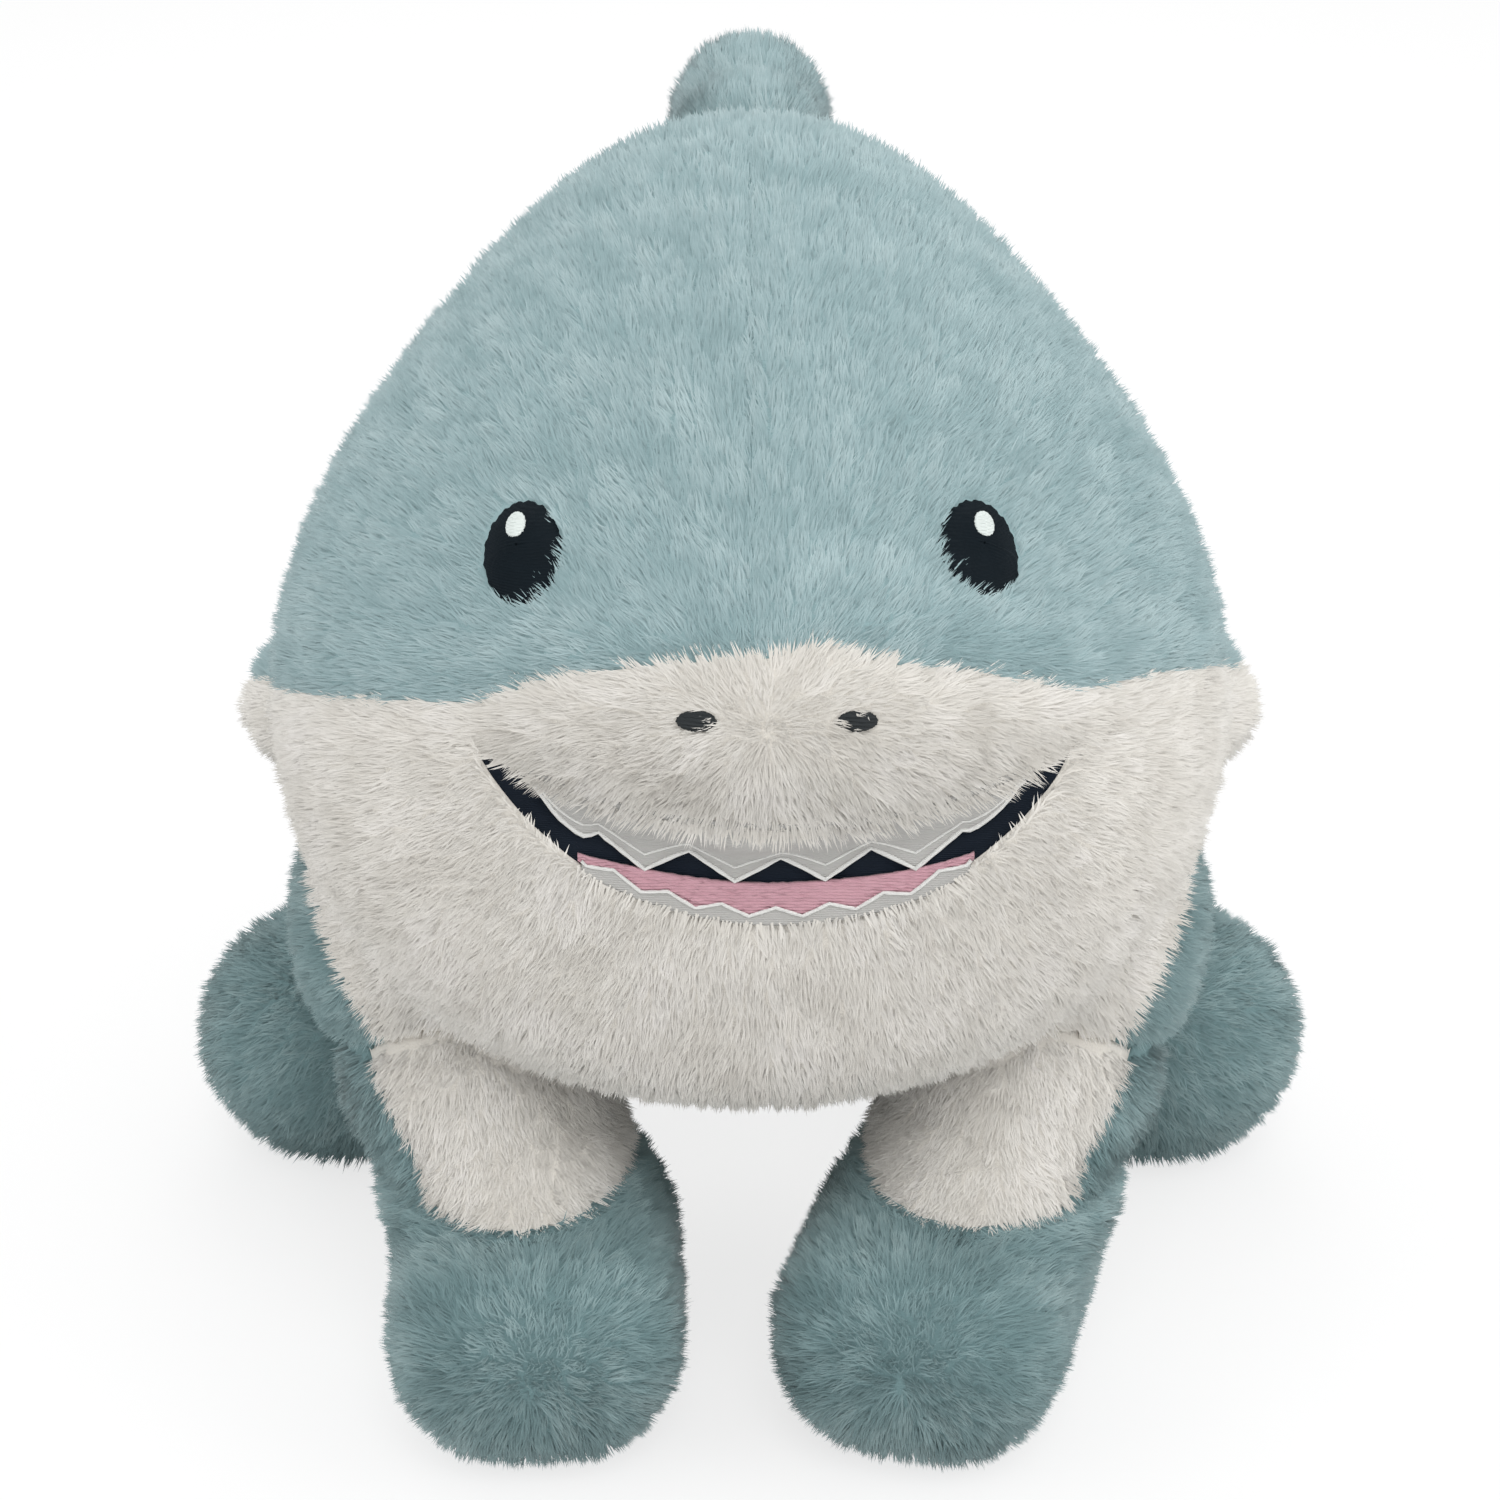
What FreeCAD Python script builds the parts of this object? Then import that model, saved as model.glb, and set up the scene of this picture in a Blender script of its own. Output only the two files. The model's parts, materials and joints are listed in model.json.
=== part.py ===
"""Plush shark on four stuffed legs, as a parametric FreeCAD document.

Millimetres, +Z up. The shark faces -Y, and its right-hand side as seen from the front is +X.
The origin is on the floor, under the middle of the box that the whole toy fills.
Each sewn fabric panel, each stuffing and each appliqué is a sub-part of its own. The head and trunk are
one sack of panels; each leg, the back fin and the tail are sewn on at a rounded root that flexes.
"""
import FreeCAD, Part
import math
import os
import re

from FreeCAD import Placement, Rotation, Vector
from Sketcher import Constraint

SIDES = (("left", "-"), ("right", "+"))
ALL = ("-beyond", "beyond")
FORWARD = (0, -1, 0)

# ---------------------------------------------------------------- driving dimensions

# Trunk stations from nose to tail: place along Y, height of the middle, half width, half height.
TRUNK = [
    ("nose", -168, 183, 14, 14),
    ("lip", -160, 168, 60, 45),
    ("face", -145, 163, 97, 72),
    ("brow", -120, 169, 113, 87),
    ("jowl", -85, 181, 120, 99),
    ("neck", -45, 192, 109, 105),
    ("chest", -5, 200, 90, 106),
    ("back", 35, 203, 72, 97),
    ("hips", 70, 204, 56, 79),
    ("rump", 100, 202, 44, 57),
    ("root", 116, 199, 40, 47),
]

SIZES = {
    # fabric
    "skin": 6,              # backing and pile together
    "ease": 0.3,            # play between a stuffing and the skin around it
    "root_play": 0.4,       # play all round a limb's rounded root
    "beyond": 500,          # further out than every surface of the toy
    # muzzle and cheeks
    "muzzle_x": 6, "muzzle_y": -130, "muzzle_z": 200,
    "muzzle_wide": 84, "muzzle_deep": 46, "muzzle_high": 40,
    "cheek_x": 106, "cheek_y": -64, "cheek_z": 167,
    "cheek_wide": 27, "cheek_deep": 30, "cheek_high": 20,
    # colour seam between the grey-blue top and the white front and belly, from the back to the nose
    "seam_back_z": 168, "seam_back_y": -50, "seam_cheek_z": 195, "seam_cheek_y": -132,
    "seam_lip_z": 202, "seam_lip_y": -152, "seam_nose_z": 221, "seam_nose_y": -168,
    "side_seam_x": 92, "belly_seam_y": -104,
    # eyes
    "eye_x": 53, "eye_y": -134, "eye_z": 233, "eye_wide": 9.5, "eye_high": 13.5, "eye_deep": 4,
    "eye_pitch": 44, "eye_yaw": 22, "glint_wide": 2.8, "glint_high": 4.2, "glint_rise": 6,
    # nostrils
    "nostril_gap": 18, "nostril_y": -172, "nostril_z": 206,
    "nostril_wide": 4.8, "nostril_high": 2.4, "nostril_deep": 5,
    # mouth
    "mouth_half": 69, "mouth_z": 192, "lip_sag": 16, "jaw_sag": 42, "mouth_cut_y": -120,
    "tongue_half": 46, "tongue_z": 167.5, "tongue_sag": 8, "tongue_drop": 25,
    "upper_teeth_half": 50, "upper_tooth": 6, "upper_gum": 9,
    "lower_teeth_half": 44, "lower_tooth": 2.5, "lower_gum": 1,
    "upper_teeth_count": 5, "lower_teeth_count": 7,
    # shoulders, where the trunk widens over the front legs
    "shoulder_x": 86, "shoulder_y": -88, "shoulder_z": 116,
    "shoulder_wide": 33, "shoulder_deep": 44, "shoulder_high": 42,
    # front legs
    "fore_x": 70, "fore_y": -100, "fore_z": 80, "fore_ball": 38,
    "shin_x": 62, "shin_y": -112, "shin_z": 53, "shin_wide": 35, "shin_deep": 40, "shin_high": 34,
    "paw_left_x": 55, "paw_right_x": 49, "paw_y": -130, "paw_wide": 74, "paw_long": 107, "paw_high": 62,
    "paw_round": 29, "paw_left_turn": 3, "paw_right_turn": -16,
    "strip_x": 90, "strip_z": 80, "strip_lean": 28,
    # rear legs
    "hind_x": 62, "hind_y": -5, "hind_z": 118, "hind_ball": 36,
    "thigh_x": 92, "thigh_y": -1, "thigh_z": 80, "thigh_wide": 36, "thigh_deep": 32, "thigh_high": 46,
    "thigh_lean": 36,
    "foot_x": 119, "foot_y": -3, "foot_z": 36, "foot_wide": 45, "foot_deep": 42, "foot_high": 40,
    "foot_cuff_x": 94,
    # back fin
    "fin_y": 78, "fin_z": 271, "fin_slope": 40, "fin_root": 24, "fin_long": 42,
    "blade_y": 86, "blade_z": 282, "blade_thick": 22.5, "blade_long": 28, "blade_high": 27,
    # tail: a stalk with an upper and a lower lobe
    "tail_y": 112, "tail_z": 198, "tail_ball": 32,
    "stalk_y": 142, "stalk_thick": 20, "stalk_long": 38, "stalk_high": 26,
    "lobe_top_y": 160, "lobe_top_z": 222, "lobe_top_lean": -34, "lobe_thick": 17,
    "lobe_deep": 19, "lobe_top_high": 36,
    "lobe_low_y": 156, "lobe_low_z": 172, "lobe_low_lean": 36, "lobe_low_high": 32,
    "lobe_seam_y": 146,
}

for name, along, middle, wide, high in TRUNK:
    SIZES.update({f"{name}_along": along, f"{name}_mid": middle, f"{name}_wide": wide, f"{name}_high": high})
NAMES = set(SIZES)

doc = FreeCAD.newDocument("plush_shark")
sheet = doc.addObject("Spreadsheet::Sheet", "sizes")
for row, (name, value) in enumerate(SIZES.items(), start=1):
    sheet.set(f"A{row}", name)
    sheet.set(f"B{row}", str(value))
    sheet.setAlias(f"B{row}", name)
doc.recompute()


def size(name):
    """The number in the sheet's cell of that name."""
    return float(sheet.get(name))


def formula(text):
    """A formula for setExpression: each word that names a cell becomes a reference to it."""
    return re.sub(r"[a-z][a-z_]*", lambda word: f"sizes.{word[0]}" if word[0] in NAMES else word[0], text)


gauge = doc.addObject("App::FeaturePython", "gauge")
gauge.addProperty("App::PropertyFloat", "reading")


def amount(text):
    """The number that a formula gives with the sheet's present values."""
    gauge.setExpression("reading", formula(text))
    gauge.recompute()
    return float(gauge.reading)


def bind(piece, **formulas):
    """Binds properties of a piece to formulas; a double underscore stands for the dot in a sub-property."""
    for name, text in formulas.items():
        piece.setExpression(name.replace("__", "."), formula(text))


def place(piece, middle, axis=None, angle="0"):
    """Binds a piece's place, and its turn about a fixed axis, to the sheet."""
    if axis:
        piece.Placement = Placement(Vector(), Rotation(Vector(*axis), 10))
        bind(piece, Placement__Rotation__Angle=angle)
    bind(piece, Placement__Base__x=middle[0], Placement__Base__y=middle[1], Placement__Base__z=middle[2])
    return piece


# ---------------------------------------------------------------- shapes that every stuffed piece is made of

def ellipsoid(name, middle, radii, inset="0", axis=None, angle="0"):
    """An ellipsoid with radii along X, Y and Z, each smaller by the inset."""
    piece = doc.addObject("Part::Ellipsoid", name)
    bind(piece, Radius2=f"{radii[0]} - ({inset})", Radius3=f"{radii[1]} - ({inset})",
         Radius1=f"{radii[2]} - ({inset})")
    return place(piece, middle, axis, angle)


def ball(name, middle, radius, inset="0"):
    """A sphere, smaller by the inset."""
    piece = doc.addObject("Part::Sphere", name)
    bind(piece, Radius=f"{radius} - ({inset})")
    return place(piece, middle)


def block(name, corner, extent):
    """A box from its low corner and its extent along X, Y and Z."""
    piece = doc.addObject("Part::Box", name)
    bind(piece, Length=extent[0], Width=extent[1], Height=extent[2])
    return place(piece, corner)


def space(name, x=ALL, y=ALL, z=ALL):
    """A box between limits along X, Y and Z, open-ended where none is given, to divide other pieces with."""
    return block(name, (x[0], y[0], z[0]), [f"{high} - ({low})" for low, high in (x, y, z)])


def join(name, *pieces):
    """The union of some pieces."""
    piece = doc.addObject("Part::MultiFuse", name)
    piece.Shapes = pieces
    piece.Refine = False
    return piece


def cut(name, base, tool):
    """What is left of the base outside the tool."""
    piece = doc.addObject("Part::Cut", name)
    piece.Base, piece.Tool = base, tool
    piece.Refine = False
    return piece


def common(name, base, tool):
    """What is left of the base inside the tool."""
    piece = doc.addObject("Part::Common", name)
    piece.Base, piece.Tool = base, tool
    piece.Refine = False
    return piece


# ---------------------------------------------------------------- trunk: head and body in one sack

def trunk_rings(label, inset):
    """Oval rings along the trunk, each set in by the inset, along the profile's normal.

    An oval may be wider than high or higher than wide, so it is a closed spline and not a Part::Ellipse.
    """
    names = [station[0] for station in TRUNK]
    along = [size(f"{name}_along") for name in names]
    radius = [(size(f"{name}_wide") + size(f"{name}_high")) / 2 for name in names]
    rings = []
    for i, name in enumerate(names):
        low, top = max(i - 1, 0), min(i + 1, len(names) - 1)
        run, rise = along[top] - along[low], radius[top] - radius[low]
        length = math.hypot(run, rise)
        if i in (0, len(names) - 1):
            shift, shrink = inset if i == 0 else -inset, inset * run / length
        else:
            shift, shrink = inset * rise / length, inset * run / length
        wide, high = size(f"{name}_wide") - shrink, size(f"{name}_high") - shrink
        turns = [2 * math.pi * k / 16 for k in range(16)]
        curve = Part.BSplineCurve()
        points = [Vector(wide * math.cos(a), 0, high * math.sin(a)) for a in turns]
        curve.interpolate(points, PeriodicFlag=True)
        ring = doc.addObject("Part::Feature", f"{label}_{name}_ring")
        ring.Shape = Part.Wire([curve.toShape()])
        ring.Placement = Placement(Vector(0, along[i] + shift, size(f"{name}_mid")), Rotation())
        rings.append(ring)
    return rings


def trunk(label, inset):
    """The trunk's whole solid with its muzzle and cheeks, set in by the named amount."""
    sack = doc.addObject("Part::Loft", f"{label}_sack")
    sack.Sections = trunk_rings(label, amount(inset))
    sack.Solid = True
    muzzle = ellipsoid(f"{label}_muzzle", ("muzzle_x", "muzzle_y", "muzzle_z"),
                       ("muzzle_wide", "muzzle_deep", "muzzle_high"), inset)
    swells = [ellipsoid(f"{label}_{swell}_{side}", (f"{sign}{swell}_x", f"{swell}_y", f"{swell}_z"),
                        (f"{swell}_wide", f"{swell}_deep", f"{swell}_high"), inset)
              for side, sign in SIDES for swell in ("cheek", "shoulder")]
    return join(label, sack, muzzle, *swells)


# ---------------------------------------------------------------- limbs as whole solids

def rounded_block(name, middle, extent, rounding, inset, angle):
    """A block with every edge rounded, its underside above the floor by the inset, turned about Z."""
    wide, deep, high = extent
    core = block(f"{name}_core", (f"-({wide}) / 2 + {inset}", f"-({deep}) / 2 + {inset}", inset),
                 (f"{wide} - 2 * ({inset})", f"{deep} - 2 * ({inset})", f"{high} - 2 * ({inset})"))
    doc.recompute()
    piece = doc.addObject("Part::Fillet", name)
    piece.Base = core
    radius = amount(f"{rounding} - ({inset})")
    piece.Edges = [(edge, radius, radius) for edge in range(1, 13)]
    return place(piece, middle, (0, 0, 1), angle)


def fore_paw(label, side, sign, inset):
    """The paw of a front leg; each paw stands a little differently."""
    return rounded_block(label, (f"{sign}paw_{side}_x", "paw_y", "0"), ("paw_wide", "paw_long", "paw_high"),
                         "paw_round", inset, f"paw_{side}_turn")


def fore_leg(label, side, sign, inset):
    """A front leg: ball root, shin and paw."""
    return join(label,
                ball(f"{label}_root", (f"{sign}fore_x", "fore_y", "fore_z"), "fore_ball", inset),
                ellipsoid(f"{label}_shin", (f"{sign}shin_x", "shin_y", "shin_z"),
                          ("shin_wide", "shin_deep", "shin_high"), inset),
                fore_paw(f"{label}_paw", side, sign, inset))


def hind_leg(label, side, sign, inset):
    """A rear leg: ball root, thigh and broad foot, flat under the sole."""
    lean = "-thigh_lean" if sign == "+" else "thigh_lean"
    leg = join(f"{label}_whole",
               ball(f"{label}_root", (f"{sign}hind_x", "hind_y", "hind_z"), "hind_ball", inset),
               ellipsoid(f"{label}_thigh", (f"{sign}thigh_x", "thigh_y", "thigh_z"),
                         ("thigh_wide", "thigh_deep", "thigh_high"), inset, (0, 1, 0), lean),
               ellipsoid(f"{label}_foot", (f"{sign}foot_x", "foot_y", "foot_z"),
                         ("foot_wide", "foot_deep", "foot_high"), inset))
    return cut(label, leg, space(f"{label}_floor", z=("-beyond", inset)))


def back_fin(label, inset):
    """The back fin: a spindle-shaped root along the back's slope, and the blade over it."""
    return join(label,
                ellipsoid(f"{label}_root", ("0", "fin_y", "fin_z"), ("fin_root", "fin_long", "fin_root"),
                          inset, (1, 0, 0), "-fin_slope"),
                ellipsoid(f"{label}_blade", ("0", "blade_y", "blade_z"),
                          ("blade_thick", "blade_long", "blade_high"), inset))


def tail(label, inset):
    """The tail: ball root, stalk and two lobes."""
    lobes = [ellipsoid(f"{label}_{lobe}", ("0", f"{lobe}_y", f"{lobe}_z"),
                       ("lobe_thick", "lobe_deep", f"{lobe}_high"), inset, (1, 0, 0), f"{lobe}_lean")
             for lobe in ("lobe_top", "lobe_low")]
    return join(label,
                ball(f"{label}_root", ("0", "tail_y", "tail_z"), "tail_ball", inset),
                ellipsoid(f"{label}_stalk", ("0", "stalk_y", "tail_z"),
                          ("stalk_thick", "stalk_long", "stalk_high"), inset),
                *lobes)


def hull_and_fill(make, label, *where):
    """The fabric hull of a stuffed piece, as its outer solid less its inner one, and its stuffing."""
    hull = cut(f"{label}_hull", make(f"{label}_outer", *where, "0"), make(f"{label}_inner", *where, "skin"))
    return hull, make(f"{label}_fill", *where, "skin + ease")


# ---------------------------------------------------------------- outlines of the seams and the mouth

UPRIGHT_FRONT = Rotation(Vector(1, 0, 0), 90)   # a sketch's x and y become X and Z
UPRIGHT_SIDE = Rotation(Vector(1, 1, 1), 120)   # a sketch's x and y become Y and Z
MOUTH_PLANE = ("muzzle_x", "mouth_cut_y", "0")


def pin_down(sketch, kind, ends, text):
    """Adds a constraint whose value is a formula."""
    number = sketch.addConstraint(Constraint(kind, *ends, amount(text)))
    sketch.setExpression(f"Constraints[{number}]", formula(text))


def polygon(name, points, turn, middle=("0", "0", "0")):
    """A closed sketch of straight lines through points given by formulas."""
    sketch = doc.addObject("Sketcher::SketchObject", name)
    sketch.Placement = Placement(Vector(), turn)
    corners = [Vector(amount(x), amount(y), 0) for x, y in points]
    for start, end in zip(corners, corners[1:] + corners[:1]):
        sketch.addGeometry(Part.LineSegment(start, end), False)
    for edge, (x, y) in enumerate(points):
        before = edge - 1 if edge else len(points) - 1
        sketch.addConstraint(Constraint("Coincident", before, 2, edge, 1))
        pin_down(sketch, "DistanceX", (-1, 1, edge, 1), x)
        pin_down(sketch, "DistanceY", (-1, 1, edge, 1), y)
    return place(sketch, middle)


def arc_radius(sag, half="mouth_half"):
    """The radius, as a formula, of an arc with a sag between two points, by default the mouth's corners."""
    return f"({half} ^ 2 + {sag} ^ 2) / (2 * {sag})"


def smile(name, sags, half_width="mouth_half", height="mouth_z"):
    """A closed sketch between two lines from corner to corner, each an arc or, with no sag, a chord."""
    sketch = doc.addObject("Sketcher::SketchObject", name)
    sketch.Placement = Placement(Vector(), UPRIGHT_FRONT)
    half, level = size(half_width), size(height)
    start, end = Vector(-half, level, 0), Vector(half, level, 0)
    for number, sag in enumerate(sags):
        if sag:
            lowest = Vector(0, level - size(sag), 0)
            sketch.addGeometry(Part.Arc(start, lowest, end), False)
            pin_down(sketch, "Radius", (number,), arc_radius(sag, half_width))
        else:
            sketch.addGeometry(Part.LineSegment(start, end), False)
    sketch.addConstraint([Constraint("Coincident", 0, 1, 1, 1), Constraint("Coincident", 0, 2, 1, 2),
                          Constraint("Symmetric", 0, 1, 0, 2, -2)])
    pin_down(sketch, "DistanceX", (0, 1, 0, 2), f"2 * {half_width}")
    pin_down(sketch, "DistanceY", (-1, 1, 0, 1), height)
    return place(sketch, MOUTH_PLANE)


EVEN, ODD = 0, 1


def teeth(jaw, sag, gum, tooth, back, tip_steps):
    """A jaw's zigzag strip along an arc of the mouth: a tooth's tip at each even or each odd half step."""
    half = f"{jaw}_teeth_half"
    steps = 2 * int(size(f"{jaw}_teeth_count"))
    points = []
    for step in range(steps + 1):
        across = f"{half} * {2 * step / steps - 1}"
        arc = f"mouth_z - {sag} + {arc_radius(sag)} - sqrt(({arc_radius(sag)}) ^ 2 - ({across}) ^ 2)"
        points.append((across, f"{arc} + {gum} + {tooth}" if step % 2 == tip_steps else f"{arc} + {gum}"))
    points += [(half, f"mouth_z + {back}"), (f"-{half}", f"mouth_z + {back}")]
    return polygon(f"{jaw}_teeth_outline", points, UPRIGHT_FRONT, MOUTH_PLANE)


def bar(name, base, direction):
    """A solid bar of a sketch's outline, pushed out in one direction."""
    piece = doc.addObject("Part::Extrusion", name)
    piece.Base = base
    piece.DirMode = "Custom"
    piece.Dir = Vector(*direction)
    piece.Solid = True
    bind(piece, LengthFwd="beyond")
    return piece


# ---------------------------------------------------------------- the toy, piece by piece

PIECES = []


def keep(name, solid):
    """Files a finished sub-part under its own name."""
    solid.Label = name
    PIECES.append(solid)


def halves(label, solid):
    """A hull's left and right halves, cut along the middle plane."""
    right = space(f"{label}_right_space", x=("0", "beyond"))
    return {"left": cut(f"{label}_left_half", solid, right),
            "right": common(f"{label}_right_half", solid, right)}


def outboard(name, sign, distance):
    """The space on one side of the toy further out than a distance."""
    return space(name, x=(distance, "beyond") if sign == "+" else ("-beyond", f"-{distance}"))


def leaning_outboard(name, sign):
    """The space on one side of the toy beyond a plane that leans outwards as it rises."""
    rise = "tan(strip_lean * 1deg)"
    low, high = f"strip_x - strip_z * {rise}", f"strip_x + (beyond - strip_z) * {rise}"
    corners = [(low, "0"), ("beyond", "0"), ("beyond", "beyond"), (high, "beyond")]
    outline = [(f"{sign}({x})", z) for x, z in corners]
    return bar(name, polygon(f"{name}_outline", outline, UPRIGHT_FRONT, ("0", "beyond / 2", "0")), FORWARD)


def build_front_legs():
    """Front legs: white face, blue outer strip, mitten and sole over the stuffing."""
    for side, sign in SIDES:
        label = f"fore_{side}"
        hull, fill = hull_and_fill(fore_leg, label, side, sign)
        ground = space(f"{label}_ground", z=("-beyond", "skin"))
        paw_space = fore_paw(f"{label}_paw_space", side, sign, "-ease")
        strip = leaning_outboard(f"{label}_strip_space", sign)
        upper = cut(f"{label}_upper", hull, paw_space)
        mitten = common(f"{label}_mitten", hull, paw_space)
        keep(f"front_sole_{side}", common(f"{label}_sole", mitten, ground))
        keep(f"front_paw_{side}", cut(f"{label}_paw_skin", mitten, ground))
        keep(f"front_leg_side_{side}", common(f"{label}_side", upper, strip))
        keep(f"front_leg_face_{side}", cut(f"{label}_face", upper, strip))
        keep(f"front_leg_stuffing_{side}", fill)


def build_rear_legs():
    """Rear legs: thigh, foot and sole over the stuffing."""
    for side, sign in SIDES:
        label = f"hind_{side}"
        hull, fill = hull_and_fill(hind_leg, label, side, sign)
        ground = space(f"{label}_ground", z=("-beyond", "skin"))
        cuff = outboard(f"{label}_cuff_space", sign, "foot_cuff_x")
        upper = cut(f"{label}_upper", hull, ground)
        keep(f"rear_sole_{side}", common(f"{label}_sole", hull, ground))
        keep(f"rear_foot_{side}", common(f"{label}_foot_skin", upper, cuff))
        keep(f"rear_thigh_{side}", cut(f"{label}_thigh_skin", upper, cuff))
        keep(f"rear_leg_stuffing_{side}", fill)


def build_fin_and_tail():
    """Back fin and tail: left and right halves over their stuffing, the tail's lobes sewn to its stalk."""
    hull, fill = hull_and_fill(back_fin, "fin")
    for side, half in halves("fin", hull).items():
        keep(f"back_fin_{side}", half)
    keep("back_fin_stuffing", fill)
    hull, fill = hull_and_fill(tail, "tail")
    lobes = space("lobe_space", y=("lobe_seam_y", "beyond"))
    for part, skin in (("tail_lobes", common("tail_lobes_skin", hull, lobes)),
                       ("tail_stalk", cut("tail_stalk_skin", hull, lobes))):
        for side, half in halves(part, skin).items():
            keep(f"{part}_{side}", half)
    keep("tail_stuffing", fill)


def sockets():
    """The hollows in the trunk that the rounded roots of the limbs turn in."""
    play = "-root_play"
    hollows = [ball(f"{limb}_socket_{side}", (f"{sign}{limb}_x", f"{limb}_y", f"{limb}_z"),
                    f"{limb}_ball", play)
               for side, sign in SIDES for limb in ("fore", "hind")]
    hollows.append(ball("tail_socket", ("0", "tail_y", "tail_z"), "tail_ball", play))
    hollows.append(ellipsoid("fin_socket", ("0", "fin_y", "fin_z"), ("fin_root", "fin_long", "fin_root"),
                             play, (1, 0, 0), "-fin_slope"))
    return join("sockets", *hollows)


def lens(name, kind, rise, sign):
    """An embroidered patch of an eye: a lens square to the face, set up the face from the eye's middle."""
    piece = doc.addObject("Part::Ellipsoid", name)
    bind(piece, Radius2=f"{kind}_wide", Radius3="eye_deep", Radius1=f"{kind}_high")
    middle = f"create(<<vector>>; {sign}eye_x; eye_y + {rise} * sin(eye_pitch * 1deg); " \
             f"eye_z + {rise} * cos(eye_pitch * 1deg))"
    turn = f"create(<<rotation>>; {sign}eye_yaw; 0; -eye_pitch)"
    bind(piece, Placement=f"create(<<placement>>; {middle}; {turn})")
    return piece


def build_eyes(inner):
    """The two eyes with their glints, down to the inside of the skin; gives the space that they take."""
    holes = []
    for side, sign in SIDES:
        dark = lens(f"eye_{side}_lens", "eye", "0", sign)
        glint = lens(f"eye_{side}_glint_lens", "glint", "glint_rise", sign)
        patch = cut(f"eye_{side}_patch", dark, inner)
        keep(f"eye_{side}", cut(f"eye_{side}_dark", patch, glint))
        keep(f"eye_glint_{side}", common(f"eye_{side}_light", patch, glint))
        holes.append(dark)
    return join("eye_holes", *holes)


def build_nostrils(hull):
    """The two nostrils, sewn into the skin; gives the space that they take."""
    holes = []
    for side, sign in SIDES:
        hole = ellipsoid(f"nostril_{side}_lens", (f"muzzle_x {sign} nostril_gap", "nostril_y", "nostril_z"),
                         ("nostril_wide", "nostril_deep", "nostril_high"))
        keep(f"nostril_{side}", common(f"nostril_{side}_patch", hole, hull))
        holes.append(hole)
    return join("nostril_holes", *holes)


def build_mouth(inlay):
    """The mouth's inlay between the lips: upper teeth, lower teeth, tongue and the lining between them."""
    upper_outline = teeth("upper", "lip_sag", "-upper_gum", "-upper_tooth", "upper_gum", EVEN)
    lower_outline = teeth("lower", "jaw_sag", "lower_gum", "lower_tooth", "-jaw_sag - lower_gum", ODD)
    upper = bar("upper_teeth_bar", upper_outline, FORWARD)
    lower = bar("lower_teeth_bar", lower_outline, FORWARD)
    tongue = smile("tongue_outline", ("tongue_sag", "tongue_drop"), "tongue_half", "tongue_z")
    strip = bar("tongue_bar", tongue, FORWARD)
    keep("upper_teeth", common("upper_teeth_strip", inlay, upper))
    under = cut("mouth_under_teeth", inlay, upper)
    keep("lower_teeth", common("lower_teeth_strip", under, lower))
    middle = cut("mouth_between_teeth", under, lower)
    keep("tongue", common("tongue_strip", middle, strip))
    keep("mouth_lining", cut("mouth_lining_skin", middle, strip))


def build_trunk():
    """Head and trunk: the panels of the sack, the face and the stuffing."""
    outer = trunk("trunk_outer", "0")
    inner = trunk("trunk_inner", "skin")
    hollow = sockets()
    keep("body_stuffing", cut("trunk_stuffing", trunk("trunk_fill", "skin + ease"), hollow))
    hull = cut("trunk_hull", cut("trunk_skin", outer, inner), hollow)

    seam = polygon("colour_seam", [
        ("-beyond", "seam_nose_z"), ("seam_nose_y", "seam_nose_z"), ("seam_lip_y", "seam_lip_z"),
        ("seam_cheek_y", "seam_cheek_z"), ("seam_back_y", "seam_back_z"), ("beyond", "seam_back_z"),
        ("beyond", "beyond"), ("-beyond", "beyond")], UPRIGHT_SIDE)
    tops = {"left": bar("top_left_space", seam, (-1, 0, 0)),
            "right": bar("top_right_space", seam, (1, 0, 0))}
    eyes = build_eyes(inner)
    for side, top in tops.items():
        keep(f"top_panel_{side}", cut(f"top_{side}_skin", common(f"top_{side}_whole", hull, top), eyes))

    pale = cut("pale_hull", hull, join("top_space", *tops.values()))
    mouth = bar("mouth_bar", smile("mouth_outline", ("lip_sag", "jaw_sag")), FORWARD)
    build_mouth(common("mouth_inlay", pale, mouth))
    pale = cut("pale_frame", pale, mouth)

    forehead = space("muzzle_block", x=("-side_seam_x", "side_seam_x"), y=("-beyond", "mouth_cut_y"),
                     z=("mouth_z", "beyond"))
    lip = bar("lip_bar", smile("lip_outline", ("lip_sag", None)), FORWARD)
    muzzle_space = join("muzzle_space", forehead, lip)
    nostrils = build_nostrils(hull)
    keep("muzzle_panel", cut("muzzle_skin", common("muzzle_whole", pale, muzzle_space), nostrils))

    pale = cut("pale_rest", pale, muzzle_space)
    middle = space("middle_space", x=("-side_seam_x", "side_seam_x"))
    front = space("chin_space", y=("-beyond", "belly_seam_y"))
    centre = common("pale_centre", pale, middle)
    keep("chin_panel", common("chin_skin", centre, front))
    keep("belly_panel", cut("belly_skin", centre, front))
    for side, flank in halves("flank", cut("pale_flanks", pale, middle)).items():
        keep(f"side_panel_{side}", flank)


build_trunk()
build_front_legs()
build_rear_legs()
build_fin_and_tail()
doc.recompute()

# ---------------------------------------------------------------- checks and files

faults = [piece.Name for piece in doc.Objects if {"Invalid", "Error"} & set(piece.State)]
faults += [piece.Label for piece in PIECES
           if piece.Shape.isNull() or not piece.Shape.isValid() or not piece.Shape.Solids]
if faults:
    raise SystemExit(f"failed: {faults}")
os.makedirs("parts", exist_ok=True)
for piece in PIECES:
    piece.Shape.exportStep(f"parts/{piece.Label}.step")
    print(f"{piece.Label:28s} {len(piece.Shape.Solids)} solid(s) {piece.Shape.Volume / 1000:9.2f} cm3")
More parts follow.
